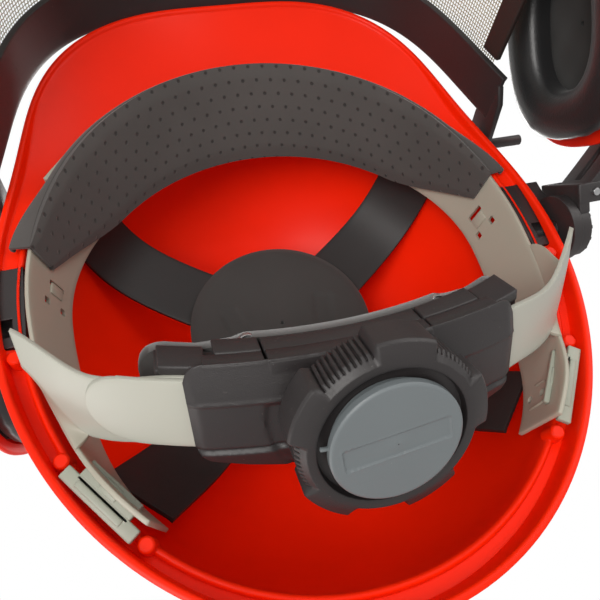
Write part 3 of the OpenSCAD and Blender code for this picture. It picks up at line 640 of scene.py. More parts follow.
na, npn = 331, 12
aa = np.linspace(-138, 138, na)
hh = bd_frame(aa)[3]
pp = np.linspace(0, 1, npn)
A_ = np.stack([bd_pt(aa, hh * p_, np.zeros(na)) for p_ in pp], 1)
B_ = np.stack([bd_pt(aa, hh * p_, np.full(na, -BT)) for p_ in pp], 1)
band = slab("band_body", A_, B_, M_BAND, 0.4, sharp=50, limit=60)
cuts = []
for s_ in (-1, 1):
    for z in (-5, 5):
        cuts.append(boxm("c", (-7.5 if s_ > 0 else 4.5, z - 1.5, -3), (-4.5 if s_ > 0 else 7.5, z + 1.5, 3), M_BAND, 0.5, side_m(s_ * 84, 17)))
    cuts.append(boxm("c", (-1.1 + 3 * s_, -4.5, -4), (1.1 + 3 * s_, 4.5, 4), M_BAND, 0.5, side_m(s_ * 84, 17)))
    cuts.append(boxm("c", (-14, -10.9, 0.2), (-0.5, 10.9, 2.8), M_BAND, 0, clip_m("rear", s_)))
    for z in (-4, 4):
        cuts.append(revolve("c", [(0, -4), (1.5, -4), (1.5, 4), (0, 4)], M_BAND, side_m(s_ * 131, 18 + z), 32))
cut(band, cuts, sharp=50)
bits = [band]
for s_ in (-1, 1):
    bits.append(boxm("r", (-3.2, -3.6, -0.3), (1.6, 3.6, 0.55), M_BAND, 0.3, side_m(s_ * 84, 17)))
    # rib bent round the two small holes of the hanger plate
    M_ = side_m(s_ * 131, 18)
    arcp = [(4.2 * math.cos(t), -4 + 4.2 * math.sin(t)) for t in np.linspace(math.pi, 2 * math.pi, 15)]
    path = [(-4.2, 2.0)] + arcp + [(4.2, 0.5)]
    outer = [(x * 1.2, -4 + (y + 4) * 1.2) for x, y in path]
    A2 = np.array([[(*p_, 0.55), (*q_, 0.55)] for p_, q_ in zip(path, outer)])
    B2 = A2.copy()
    B2[..., 2] = -0.2
    bits.append(slab("u", A2, B2, M_BAND, 0.2, M=M_))
put(join("headband_moulding", bits), "helmet", "headband", slot="band")


# ------------------------------------------------------------------ soft goods
def soften(o, pressure, cap, frames=12, hold=None):
    """Swells a closed mesh with Cloth pressure, keeps each move under cap (mm), and applies it."""
    me = o.data
    n = len(me.vertices)
    rest = np.empty(n * 3)
    me.vertices.foreach_get("co", rest)
    rest = rest.reshape(-1, 3)
    vg = o.vertex_groups.new(name="hold")
    pin = hold(rest / S) if hold is not None else np.zeros(n)
    for i in np.nonzero(pin > 0)[0]:
        vg.add([int(i)], float(pin[i]), "REPLACE")
    md = o.modifiers.new("cloth", "CLOTH")
    c = md.settings
    c.quality = 5
    c.mass = 0.3
    c.tension_stiffness = c.compression_stiffness = 20
    c.bending_stiffness = 0.5
    c.use_pressure = True
    c.uniform_pressure_force = pressure
    c.effector_weights.gravity = 0
    if hold is not None:
        c.vertex_group_mass = "hold"
    md.point_cache.frame_start, md.point_cache.frame_end = 1, frames
    for f in range(1, frames + 1):
        bpy.context.scene.frame_set(f)
    dg = bpy.context.evaluated_depsgraph_get()
    ev = o.evaluated_get(dg)
    co = np.empty(n * 3)
    ev.data.vertices.foreach_get("co", co)
    co = co.reshape(-1, 3)
    d = np.nan_to_num(co - rest)
    ln = np.linalg.norm(d, axis=1, keepdims=True)
    d = np.where(ln > cap * S, d / np.maximum(ln, 1e-12) * cap * S, d)
    o.modifiers.clear()
    o.vertex_groups.clear()
    me.vertices.foreach_set("co", (rest + d).ravel())
    me.update()
    bpy.context.scene.frame_set(1)
    return o


def subdivide(o, levels=1):
    md = o.modifiers.new("sub", "SUBSURF")
    md.levels = md.render_levels = levels
    apply_mods(o)
    o.data.shade_smooth()
    return o


# brow pad: a foam strip folded over the band's lower edge
ni, nj = 151, 26
ai = np.linspace(-79.2, 79.2, ni)
qa = np.abs(ai)
hi_ = bd_frame(ai)[3] + 0.5
ee = 1 - 0.45 * (qa / 79.2) ** 8
wtop = np.where(qa < 48, hi_, hi_ * (1 - 0.58 * (np.clip(qa - 48, 0, 99) / 31.2) ** 1.8))
fl_ = 5 * sm(60, 80, qa)
bn_ = bd_frame(ai)[2]
out_ = -np.stack([bn_[:, 0], bn_[:, 1], 0 * qa], -1)
out_ = out_ / np.linalg.norm(out_, axis=1, keepdims=True)
rows_o, rows_i, uvs = [], [], []
arc = np.concatenate([[0], np.cumsum(np.linalg.norm(np.diff(bd_pt(ai, hi_ * 0.5, 0 * ai), axis=0), axis=1))])
for j in range(nj):
    f = j / (nj - 1)
    p_ = -2.4 + f * (wtop + 2.4)
    crown = 2.6 + 1.9 * np.minimum(1, np.sin(np.pi * np.clip(0.06 + 0.88 * f, 0, 1)) * 1.9) + 0.25 * np.sin(arc / 23)
    end = np.clip((79.2 - qa) / 3.0, 0, 1) ** 0.5
    rows_o.append(bd_pt(ai, p_, 0.7 + (crown - 0.7) * (0.45 + 0.55 * end) * ee))
    rows_i.append(bd_pt(ai, p_ + 0.3 * (1 - f), np.full(ni, 0.35)))
    uvs.append(np.stack([arc, p_ + 40], -1))
O_, I_, UV_ = np.stack(rows_o, 1), np.stack(rows_i, 1), np.stack(uvs, 1)
pad = slab("brow_foam", O_, I_, M_PAD, 0.0, uv=UV_, sharp=70)
soften(pad, 1.2, 0.7, 8, hold=lambda v: (np.abs(v[:, 0]) > 95) * 1.0)
fo = out_ * fl_[:, None]
z0 = 0 * ai
A3 = np.stack([bd_pt(ai, z0 - 2.4, z0 + 1.2), bd_pt(ai, z0 - 2.5, z0 - 0.6), bd_pt(ai, z0 - 2.2, z0 - 1.9) + fo, bd_pt(ai, z0 - 0.6, z0 - 2.4) + fo, bd_pt(ai, z0 + 0.4, z0 - 2.3) + fo * 0.9], 1)
B3 = np.stack([bd_pt(ai, z0 - 1.2, z0 + 0.6), bd_pt(ai, z0 - 1.2, z0 - 0.6), bd_pt(ai, z0 - 1.1, z0 - 1.5) + fo * 0.9, bd_pt(ai, z0 - 0.5, z0 - 1.8) + fo * 0.88, bd_pt(ai, z0 + 0.3, z0 - 1.75) + fo * 0.8], 1)
flap = slab("brow_flap", A3, B3, M_PAD, 0.2, uv=np.stack([np.repeat(arc[:, None], 5, 1), np.tile(np.array([34.0, 35, 36, 38, 40]), (ni, 1))], -1), sharp=60)
pad.data.materials.clear(); pad.data.materials.append(M_PAD)
pad.data.set_sharp_from_angle(angle=rad(60))
put(join("brow_pad_foam", [pad, flap]), "helmet", "brow_pad", slot="foam")

# ------------------------------------------------------------------ crown cradle and pad
HZ = 73.0
FRONT = np.array([[36, 74], [50, 73], [62, 71], [72, 68], [80, 63.5], [86, 57.5], [90.5, 50], [93.6, 41.5], [95.2, 32], [96, 22]], float)
REAR = np.array([[36, 74], [47, 73.3], [57, 71], [66, 67], [74, 61.5], [81, 54.5], [87.5, 46], [93.5, 37.5], [99, 29.5], [103.4, 23.5]], float)


def smooth_path(Q, k=3):
    Q = [np.array(q) for q in Q]
    for _ in range(k):
        Q = chaikin(Q, 0.25)
    return np.array(Q)


bits = []
for az in (56, -56, 136, -136):
    Q = smooth_path(FRONT if abs(az) < 90 else REAR)
    n = len(Q)
    P = np.stack([np.sin(rad(az)) * Q[:, 0], 5 - np.cos(rad(az)) * Q[:, 0], Q[:, 1]], -1)
    tt = unit(np.gradient(P, axis=0))
    ww = np.array([math.cos(rad(az)), math.sin(rad(az)), 0.0])
    nn = unit(np.cross(tt, ww))
    s0 = np.linspace(0, 1, n)
    hw = 15.5 - 1.35 * s0
    cols = np.linspace(-1, 1, 15)
    lip = 0.5 * (np.abs(cols) > 0.9)
    A_ = np.stack([P + ww * (c * hw)[:, None] + nn * (1.6 + 0.35 * (abs(c) > 0.86)) for c in cols], 1)
    B_ = np.stack([P + ww * (c * hw)[:, None] for c in cols], 1)
    bits.append(slab("arm", A_, B_, M_CRADLE, 0.3, sharp=45))
bits.append(revolve("hub", [(0, HZ + 0.2), (43.6, HZ + 0.2), (44, HZ + 0.6), (44, HZ + 2.0), (43.6, HZ + 2.4), (0, HZ + 2.4)], M_CRADLE, mat4((0, 5, 0)), 128))
put(join("crown_cradle_straps", bits), "helmet", "crown_cradle", slot="black")
# pad: crowned disc with two sunk rectangles
nr, nt = 30, 160
R_ = np.linspace(0.02, 1, nr)
bot, top = [], []
cr = 44.8
G = np.zeros((nt, nr, 3)); H = np.zeros((nt, nr, 3))
for i in range(nt):
    a = 2 * math.pi * i / nt
    rr_ = R_ * cr
    x, y = rr_ * math.cos(a), rr_ * math.sin(a)
    z = 69.0 + 1.6 * (np.maximum(0, R_ - 0.88) / 0.12) ** 2.2
    for sx in (-1, 1):
        ca, sa = math.cos(rad(12 * sx)), math.sin(rad(12 * sx))
        lx, ly = (x - sx * 22) * ca + (y + 2) * sa, -(x - sx * 22) * sa + (y + 2) * ca
        inside = sm(0, 1.4, 5.4 - np.abs(lx)) * sm(0, 1.4, 10.4 - np.abs(ly))
        z = z + 1.1 * inside
    G[i, :, 0], G[i, :, 1], G[i, :, 2] = x, 5 + y, z
    H[i, :, 0], H[i, :, 1], H[i, :, 2] = x, 5 + y, HZ
cp = slab("crown_pad_foam", G, H, M_SOFT, 0, closed=True, sharp=60)
bm = bmesh.new(); bm.from_mesh(cp.data)
bmesh.ops.remove_doubles(bm, verts=bm.verts, dist=1e-6)
bmesh.ops.holes_fill(bm, edges=bm.edges, sides=0)
bmesh.ops.recalc_face_normals(bm, faces=bm.faces)
bm.to_mesh(cp.data); bm.free()
cp.data.shade_smooth(); cp.data.set_sharp_from_angle(angle=rad(60))
put(cp, "helmet", "crown_pad", slot="cushion")

# ------------------------------------------------------------------ nape unit
NM = mat4((0, 82.3, -28.9), rx=235)
AR, ZC = 131.0, -135.0


def strap_up(x):
    return np.where(x < 52, -9, -9 - 3 * sm(52, 78, x) + 21 * sm(80, 98, x))


def strap_dn(x):
    return np.where(x < 50, 13.5, 13.5 - 2.5 * sm(50, 72, x) + 10 * sm(74, 97, x))


def arc_z(x, r_):
    return ZC + np.sqrt(r_ * r_ - x * x)


def strap(name, ro, ri, tail, mir, i0, i1, ty):
    nx, ny = 190, 16
    xs = np.concatenate([np.linspace(-tail, -tail + 11, 30) ** 1, np.linspace(-tail + 11.5, 97, nx - 30)])
    up, dn = strap_up(xs).astype(float), strap_dn(xs).astype(float)
    k = xs < -tail + 11
    g = np.sqrt(np.clip(1 - ((xs + tail - 11) / 11) ** 2, 0.01, 1))
    up = np.where(k, 2 - 10.8 * g, np.where(xs < 0, np.maximum(up, -9), up))
    dn = np.where(k, 2 + 11.2 * g, dn)
    f = np.linspace(0, 1, ny)
    X = np.repeat(xs[:, None], ny, 1)
    Y = up[:, None] + (dn - up)[:, None] * f
    Zo, Zi = arc_z(X, ro), arc_z(X, ri)
    # the outside's edge bead, along the sides and the end's rounded border, is added with zero height, so the face
    # stays plain
    edge = np.minimum(Y - up[:, None], dn[:, None] - Y)
    Zo = Zo + 0.0 * edge
    Mx = mat4((0, 82.3, -28.9), rx=235) if mir > 0 else mat4((0, 82.3, -28.9), rx=235) @ np.diag([-1.0, 1, 1, 1])
    o = slab(name, np.stack([X, Y, Zo], -1), np.stack([X, Y, Zi], -1), M_STRAP, 0.35, M=Mx, sharp=45, limit=60)
    pitch = math.pi * 1.5
    r_ = (ro + ri) / 2
    Xf = lambda u_: r_ * math.sin(u_ / r_)
    poly = [(Xf((i0 - 0.5) * pitch), ty * 7.9), (Xf((i0 - 0.5) * pitch), -ty * 8.3), (Xf((i1 + 0.5) * pitch), -ty * 8.3), (Xf((i1 + 0.5) * pitch), ty * 7.9)]
    for i in range(i1, i0 - 1, -1):
        for du, yy in ((1.4, 7.9), (0.65, 5.1), (-0.65, 5.1), (-1.4, 7.9)):
            poly.append((Xf(i * pitch + du), ty * yy))
    keep = o.data.copy()
    cut(o, [prism("c", poly, -25, 15, M_STRAP, 0, Mx)], sharp=45)
    xs_ = [v.co.x for v in o.data.vertices]
    if not xs_ or max(xs_) - min(xs_) < 0.12:
        o.data = keep
    return o


put(strap("strap_left_band", AR + 1.7, AR + 0.15, 78, 1, -3, 6, 1), "strap_left", "nape_strap_left", slot="band")
put(strap("strap_right_band", AR - 0.15, AR - 1.7, 46, -1, -3, 6, -1), "strap_right", "nape_strap_right", slot="band")

# cover with bevelled borders, a crease and a groove
OUT = [(-50, 14), (-45.5, 19), (45.5, 19), (50, 14), (48.5, 8), (49.5, -8.5), (47, -12), (36, -15), (20, -18), (-20, -18), (-36, -15), (-47, -12), (-49.5, -8.5), (-48.5, 8)]


def cover_rng(x):
    hi = np.interp(np.abs(x), [0, 44.5, 46.6, 48.4, 49.6], [19, 19, 18.4, 16.6, 13.6])
    lo = np.interp(np.abs(x), [0, 20, 36, 46, 48.4, 49.6], [-18, -18, -15, -12.4, -10.5, -7.5])
    return lo, hi


xs = np.concatenate([np.linspace(-49.6, -44, 16), np.linspace(-43.5, 43.5, 88), np.linspace(44, 49.6, 16)])
f = np.linspace(0, 1, 75)
lo_, hi2 = cover_rng(xs)
X = np.repeat(xs[:, None], 75, 1)
Y = lo_[:, None] + (hi2 - lo_)[:, None] * f


def cover_h(X, Y):
    h = np.zeros_like(X)
    h -= 2.6 * np.clip((Y - 8.2) / 10.8, 0, 1) ** 1.15
    h += 0.35 * np.exp(-((Y - 7.6) / 0.55) ** 2)
    h -= 0.9 * sm(0, 1.0, 1.2 - np.abs(Y + 8.4)) * (np.abs(X) > 25)
    h -= 2.4 * np.clip((-9.8 - Y) / 7.5, 0, 1)
    h -= 1.1 * sm(45.5, 50, np.abs(X)) ** 2
    # a sunk panel under the knob
    h -= 0.8 * sm(0, 1.5, 30.5 - np.hypot(X, Y * 1.0)) * sm(0, 1.5, 7.0 - Y)
    return h


Zt = -150 + np.sqrt(150 ** 2 - X ** 2) + cover_h(X, Y)
Zb = -150 + np.sqrt(147.8 ** 2 - X ** 2) - 0.9 * np.clip((Y - 8.2) / 10.8, 0, 1) - 0.9 * np.clip((-9.8 - Y) / 7.5, 0, 1)
cov = slab("cover_shell", np.stack([X, Y, Zt], -1), np.stack([X, Y, Zb], -1), M_BLACK, 0.45, M=NM, sharp=32, seg=3, limit=60)
cut(cov, [revolve("c", [(0, -12), (8.2, -12), (8.2, 4), (0, 4)], M_BLACK, NM, 48)], sharp=32)
bits = [cov, revolve("boss", [(4.96, -2.1), (19.3, -2.0), (19.5, 0.3), (19.2, 0.6), (4.96, 0.6)], M_BLACK, NM, 96),
        revolve("ring", [(15, 0.6), (15, 4.0), (15.2, 4.2), (17.2, 4.2), (17.4, 4.0), (17.4, 0.5)], M_BLACK, NM, 96)]
# side walls of the strap channel, with seams like a split housing
for x0, x1, y0, y1, z1 in ((-43.5, -27.5, 14.6, 18.4, -5.2), (-26.7, 19.3, 14.6, 18.7, -3.2), (20.1, 43.5, 14.6, 18.4, -5.2), (-34, 34, -15.6, -10.4, -4.6)):
    xx = np.linspace(x0, x1, 24)
    yy = np.linspace(y0, y1, 3)
    XX, YY = np.meshgrid(xx, yy, indexing="ij")
    bits.append(slab("w", np.stack([XX, YY, -150 + np.sqrt(149.0 ** 2 - XX ** 2) + (z1 + 1.0) * 0.35], -1), np.stack([XX, YY, -150 + np.sqrt(141.5 ** 2 - XX ** 2)], -1), M_BLACK, 0.35, M=NM, sharp=40))
put(join("ratchet_cover_shell", bits), "helmet", "ratchet_cover", slot="black")

# base housing: CAD shape kept in size, with moulded seams and the tabs at its ends
xs = np.linspace(-56.6, 56.6, 90)
bits = []


def base_part(y0, y1, ro, x0, x1, zi=None, bev=0.5):
    xx = np.linspace(x0, x1, max(8, int((x1 - x0) / 1.6)))
    yy = np.linspace(y0, y1, 5)
    XX, YY = np.meshgrid(xx, yy, indexing="ij")
    top = ro(XX)
    bot_ = -127 + np.sqrt(111.5 ** 2 - XX ** 2) if zi is None else zi(XX)
    return slab("b", np.stack([XX, YY, top], -1), np.stack([XX, YY, bot_], -1), M_BLACK, bev, M=NM, sharp=35, seg=3)


in_arc = lambda X_: ZC + np.sqrt(128.9 ** 2 - X_ ** 2)
out_arc = lambda X_: -150 + np.sqrt(141.2 ** 2 - X_ ** 2)
bits += [base_part(-10.2, 14.4, in_arc, -56.6, 56.6)]
bits += [base_part(12.9, 18.5, out_arc, -40, -27.4), base_part(12.9, 18.2, out_arc, -26.8, 19.4), base_part(12.9, 18.5, out_arc, 20.0, 40)]
bits += [base_part(-15.6, -9.2, out_arc, -32, 32)]
bits += [base_part(13.2, 17.0, lambda X_: in_arc(X_) + 1.5, 41.5, 55.5, bev=0.6), base_part(13.2, 16.2, lambda X_: in_arc(X_) + 0.8, -55.5, -42.5, bev=0.6)]
bits += [base_part(-13.4, -10.0, lambda X_: in_arc(X_) - 0.5, 36, 49, bev=0.5), base_part(-13.4, -10.0, lambda X_: in_arc(X_) - 0.5, -49, -36, bev=0.5)]
put(join("ratchet_base_shell", bits), "helmet", "ratchet_base", slot="black")

# nape pad: thin curved cushion
nx, ny = 110, 22
xs = np.linspace(-62.3, 62.3, nx)
f = np.linspace(0, 1, ny)
end = np.sqrt(np.clip(1 - (np.maximum(0, np.abs(xs) - 52) / 10.5) ** 2, 0, 1))
yc0, yc1 = 4 - 10.4 * end, 4 + 10.4 * end
yl = np.where(np.abs(xs) < 40, -8, yc0); yh = np.where(np.abs(xs) < 40, 17.6 - 0.0 * xs, yc1)
yl = np.interp(np.abs(xs), [0, 36, 44], [-8, -8, -6.3]) * (np.abs(xs) < 52) + yc0 * (np.abs(xs) >= 52)
yh = np.interp(np.abs(xs), [0, 30, 34, 44], [17.8, 17.8, 16.2, 14.4]) * (np.abs(xs) < 52) + yc1 * (np.abs(xs) >= 52)
X = np.repeat(xs[:, None], ny, 1)
Y = yl[:, None] + (yh - yl)[:, None] * f
Zo = -127 + np.sqrt(111 ** 2 - X ** 2)
Zi = -121 + np.sqrt(98.5 ** 2 - X ** 2)
ed = np.minimum(1, np.sin(np.pi * np.clip(f, 0.02, 0.98))[None] * 2.6) * np.minimum(1, ((62.9 - np.abs(xs)) / 4))[:, None]
mid_ = Zo - 2.4
Zi = mid_ + (Zi + 0.9 - mid_) * (0.35 + 0.65 * ed)
np_ = slab("nape_foam", np.stack([X, Y, Zo - 0.1], -1), np.stack([X, Y, Zi], -1), M_SOFT, 0.0, M=NM, sharp=75)
soften(np_, 1.5, 0.7, 8)
np_.data.shade_smooth(); np_.data.set_sharp_from_angle(angle=rad(70))
put(np_, "helmet", "nape_pad", slot="cushion")

# knob: five lobes with five ribbed hollows, a sloping shoulder and a raised rim
def knob_r_at(a):
    """outline radius and rib mask at angle a (degrees)"""
    k = (a - 9) % 72
    k = k - 72 if k > 36 else k
    lobe = sm(16.5, 20.5, 36 - 0 - (36 - abs(k))) if False else sm(16.0, 20.0, abs(k))
    return 28 - 2.1 * lobe, lobe


nA = 720
angs = np.arange(nA) * 360 / nA
levels = [(1.8, -0.6), (2.2, 0.0), (7.0, 0.0), (11.9, 0.0), (12.7, -0.5), (13.3, -2.0), (14.2, -4.6), (14.2, -6.6), (13.9, -7.2), (11.2, -7.5)]
V, F = [], []
for z, off in levels:
    for a in angs:
        r0, lobe = knob_r_at(a)
        rib = 0.0
        k = (a - 9) % 72
        k = k - 72 if k > 36 else k
        if lobe > 0.9 and off > -1.0:
            ph = ((36 - abs(k)) / 3.6) % 1.0
            rib = -0.95 * float(sm(0.30, 0.42, ph) * (1 - sm(0.62, 0.74, ph)))
        rr_ = r0 + rib if off > -1.2 else 28 - 2.1 * lobe * max(0, 1 + off / 4.6)
        rr_ += off
        zz = z - (0.7 * lobe if z > 11 and off > -4.5 else 0)
        V.append((rr_ * math.cos(rad(a)), rr_ * math.sin(rad(a)), zz))
nl = len(levels)
for l in range(nl - 1):
    for i in range(nA):
        i2 = (i + 1) % nA
        F.append((l * nA + i, l * nA + i2, (l + 1) * nA + i2, (l + 1) * nA + i))
V.append((0, 0, 11.2)); F += [((nl - 1) * nA + i, (nl - 1) * nA + (i + 1) % nA, len(V) - 1) for i in range(nA)]
b0 = len(V)
V += [(18 * math.cos(rad(a)), 18 * math.sin(rad(a)), 1.8) for a in angs] + [(18 * math.cos(rad(a)), 18 * math.sin(rad(a)), 4.6) for a in angs] + [(0, 0, 4.6)]
for i in range(nA):
    i2 = (i + 1) % nA
    F.append((i2, i, b0 + i, b0 + i2))
    F.append((b0 + i2, b0 + i, b0 + nA + i, b0 + nA + i2))
    F.append((b0 + nA + i2, b0 + nA + i, b0 + 2 * nA))
kn = finish_mesh(raw("knob_body", V, F, NM), M_BLACK, sharp=28)
put(kn, "knob", "ratchet_knob", slot="black")
# cap: shallow dome with a sunk blank panel and a pip
nr, nt = 60, 180
G = np.zeros((nt, nr, 3)); H = np.zeros((nt, nr, 3))
Rf = np.linspace(0.01, 1, nr)
ca, sa = math.cos(rad(6)), math.sin(rad(6))
for i in range(nt):
    a = 2 * math.pi * i / nt
    x, y = Rf * 18.2 * math.cos(a), Rf * 18.2 * math.sin(a)
    lx, ly = x * ca + y * sa, -x * sa + y * ca
    dx, dy = 14.75 - np.abs(lx), 3.6 - np.abs(ly)
    ins = np.minimum(dx, dy)
    z = 16.6 - 0.55 * np.clip((Rf - 0.955) / 0.045, 0, 1) ** 2 - 0.35 * sm(0, 0.25, ins) + 0.10 * np.exp(-(ins / 0.35) ** 2)
    z = z + 0.28 * np.exp(-((lx / 3.0) ** 2 + (ly / 2.4) ** 2)) - 0.25 * (Rf * 1.0) ** 2 * 0.2
    G[i] = np.stack([x, y, z], -1)
    H[i] = np.stack([x, y, 14.0 + 0 * x], -1)
cap_o = slab("cap_disc", G, H, M_CAP, 0.0, closed=True, M=NM, sharp=40)
bm = bmesh.new(); bm.from_mesh(cap_o.data)
bmesh.ops.remove_doubles(bm, verts=bm.verts, dist=1e-6)
bmesh.ops.holes_fill(bm, edges=bm.edges, sides=0)
bmesh.ops.recalc_face_normals(bm, faces=bm.faces)
bm.to_mesh(cap_o.data); bm.free()
cap_o.data.shade_smooth(); cap_o.data.set_sharp_from_angle(angle=rad(40))
skirt = revolve("skirt", [(15, 11.4), (16.8, 11.4), (16.8, 14.1), (15, 14.1)], M_CAP, NM, 96)
pip = boxm("pip", (-20.2, -0.5, 13.9), (-17.8, 0.5, 15.0), M_CAP, 0.3, NM @ mat4(rz=-8))
put(join("knob_cap_disc", [cap_o, skirt, pip]), "knob", "knob_cap", slot="cap")

# ------------------------------------------------------------------ bend between the headband's lower edge and each strap's end
def strap_world(x, y, r_, mir):
    v = np.array([mir * x, y, ZC + math.sqrt(r_ * r_ - x * x)])
    return NM[:3, :3] @ v + NM[:3, 3]


for side, mir, r_ in (("left", 1, AR + 0.92), ("right", -1, AR - 0.92)):
    nu_, nv_ = 30, 14
    fm = np.array([mir, 1.0, 1.0])
    c1 = np.stack([bd_pt(np.array(99.0 + 22.0 * (i / (nu_ - 1)) ** 1.0), 0.6, -0.8) * fm for i in range(nu_)])
    d1 = np.stack([-(bd_frame(np.array(99.0 + 22.0 * (i / (nu_ - 1))))[1]) * fm for i in range(nu_)])
    xs_ = [96.6 - 16.0 * (i / (nu_ - 1)) ** 1.0 for i in range(nu_)]
    c2 = np.stack([strap_world(x, float(strap_up(x)) + 0.8, r_, mir) for x in xs_])
    d2 = np.stack([unit(strap_world(x, float(strap_up(x)) - 3, r_, mir) - strap_world(x, float(strap_up(x)) + 1, r_, mir)) for x in xs_])
    G = np.zeros((nu_, nv_, 3))
    for j in range(nv_):
        t = j / (nv_ - 1)
        h0, h1, h2, h3 = (1 - t) ** 3, 3 * t * (1 - t) ** 2, 3 * t * t * (1 - t), t ** 3
        k = 0.38 * np.linalg.norm(c2 - c1, axis=1, keepdims=True)
        G[:, j] = h0 * c1 + h1 * (c1 + d1 * k) + h2 * (c2 + d2 * k) + h3 * c2
    du = np.gradient(G, axis=0)
    dv = np.gradient(G, axis=1)
    nn = unit(np.cross(du, dv))
    web = slab("nape_bend_" + side, G + nn * 0.7, G - nn * 0.7, M_BAND, 0.25, sharp=60)
    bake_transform(web)

# ------------------------------------------------------------------ visor
VY, VZ, LUG = -44.0, 18.0, 107.9


def vis_pt(t, o, z):
    t = np.asarray(t, float)
    p = rim_xy(t)
    d = rim_xy(t + 0.5) - rim_xy(t - 0.5)
    n = unit(np.stack([-d[..., 1], d[..., 0]], -1))
    o, z = np.broadcast_to(o, t.shape).astype(float), np.broadcast_to(z, t.shape).astype(float)
    f = 0.22 * np.maximum(0, -z)
    return np.stack([p[..., 0] + n[..., 0] * (o + f * 0.1), p[..., 1] + n[..., 1] * (o + f), z], -1)


def x_m(x):
    """local x, y, z become world y, z, x"""
    M = np.eye(4)
    M[:3, :3] = np.array([[0, 0, 1], [1, 0, 0], [0, 1, 0]])
    M[0, 3] = x
    return M


ts = np.linspace(91, 269, 241)
prof = [(5.2, 1.0), (5.25, -1.2), (4.7, -2.2), (4.7, -9.0), (5.3, -10.0), (5.3, -12.0), (4.7, -13.0), (4.7, -18.4), (5.2, -19.2), (5.2, -20.0)]
A_ = np.stack([vis_pt(ts, o_, z_) for o_, z_ in prof], 1)
B_ = np.stack([vis_pt(ts, 2.4, z_) for o_, z_ in prof], 1)
bits = [slab("arch", A_, B_, M_BLACK, 0.35, sharp=35)]
for s_ in (-1, 1):
    th = [math.radians(a) for a in range(0, 181, 12)]
    arcs = [(VY + 7.5 * math.cos(a), VZ + 7.5 * math.sin(a)) for a in th]
    plate = prism("lug", arcs + [(VY - 2.5 - 7.5, 4), (VY - 10, -16), (VY - 2, -16), (VY + 3, -10), (VY + 7.2, 8)], -1.3, 1.3, M_BLACK, 0.5, x_m(s_ * LUG), 3)
    cut(plate, [revolve("c", [(0, -6), (3.06, -6), (3.06, 6), (0, 6)], M_BLACK, x_m(s_ * LUG) @ mat4((VY, VZ, 0)), 48)], sharp=35)
    bits.append(plate)
    for k in (0, 1):
        y_ = VY - 5.6 + k * 5.2
        bits.append(prism("rib", [(y_, 9), (y_ + 1.3, 9), (y_ + 0.6, -12), (y_ - 0.7, -12)], s_ * 1.2 - 0.5, s_ * 1.2 + 0.5, M_BLACK, 0.25, x_m(s_ * LUG)))
for t_ in (118, 149, 180, 211, 242):
    # snap studs that hold the mesh's upper edge
    c0 = vis_pt(t_, 5.0, -16.0)
    n0 = vis_pt(t_, 6.0, -16.0) - c0
    n0 = n0 / np.linalg.norm(n0)
    M = np.array(Matrix.Translation(Vector(c0)) @ Vector(n0).to_track_quat("Z", "Y").to_matrix().to_4x4())
    bits.append(revolve("stud", [(0, -0.6), (3.0, -0.6), (3.0, 1.2), (2.4, 2.3), (0, 2.7)], M_BLACK, M, 32))
put(join("visor_arch_frame", bits), "visor", "visor_arch", slot="black")


def tube_grid(name, P, W, H, w, h, mat):
    """P: lines x points x 3; W and H: unit directions across each wire; diamond section"""
    nl, npt = P.shape[:2]
    ring = np.stack([P + W * w, P + H * h, P - W * w, P - H * h], 2).reshape(-1, 3)
    F = []
    for i in range(nl):
        b0 = i * npt * 4
        for j in range(npt - 1):
            for k in range(4):
                k2 = (k + 1) % 4
                F.append((b0 + j * 4 + k, b0 + j * 4 + k2, b0 + (j + 1) * 4 + k2, b0 + (j + 1) * 4 + k))
        F.append((b0 + 3, b0 + 2, b0 + 1, b0))
        e = b0 + (npt - 1) * 4
        F.append((e, e + 1, e + 2, e + 3))
    o = raw(name, ring, F)
    o.data.materials.append(mat)
    o.data.shade_smooth()
    return o


nw, nh = ((216, 96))
tw = np.linspace(97.4, 262.6, nw)
zw = np.linspace(-12.6, -154.6, nh)
tg = np.linspace(97.2, 262.8, nw * 2 - 1)
mo = 6.05
nrm = lambda t, z: unit(vis_pt(t, mo + 1, z) - vis_pt(t, mo, z))
T2, Z2 = np.meshgrid(tg, zw, indexing="ij")
T2, Z2 = T2.T, Z2.T
wave = 0.20 * np.cos(np.pi * (np.arange(len(tg)) / 2.0))[None, :] * np.where(np.arange(nh) % 2 == 0, 1, -1)[:, None]
P = vis_pt(T2, mo + wave, Z2)
N_ = nrm(T2, Z2)
U_ = np.broadcast_to(np.array([0, 0, 1.0]), P.shape)
hw_o = tube_grid("hw", P, U_, N_, 0.25, 0.2, M_WIRE)
zv = np.linspace(-12.2, -154.9, 9)
T3, Z3 = np.meshgrid(tw, zv, indexing="ij")
P = vis_pt(T3, mo + 0 * T3, Z3)
D_ = unit(np.gradient(vis_pt(T3, mo + 0 * T3, Z3), axis=0))
vw_o = tube_grid("vw", P, D_, nrm(T3, Z3), 0.25, 0.2, M_WIRE)
put(join("visor_mesh_wires", [hw_o, vw_o]), "visor", "visor_mesh", slot="mesh")

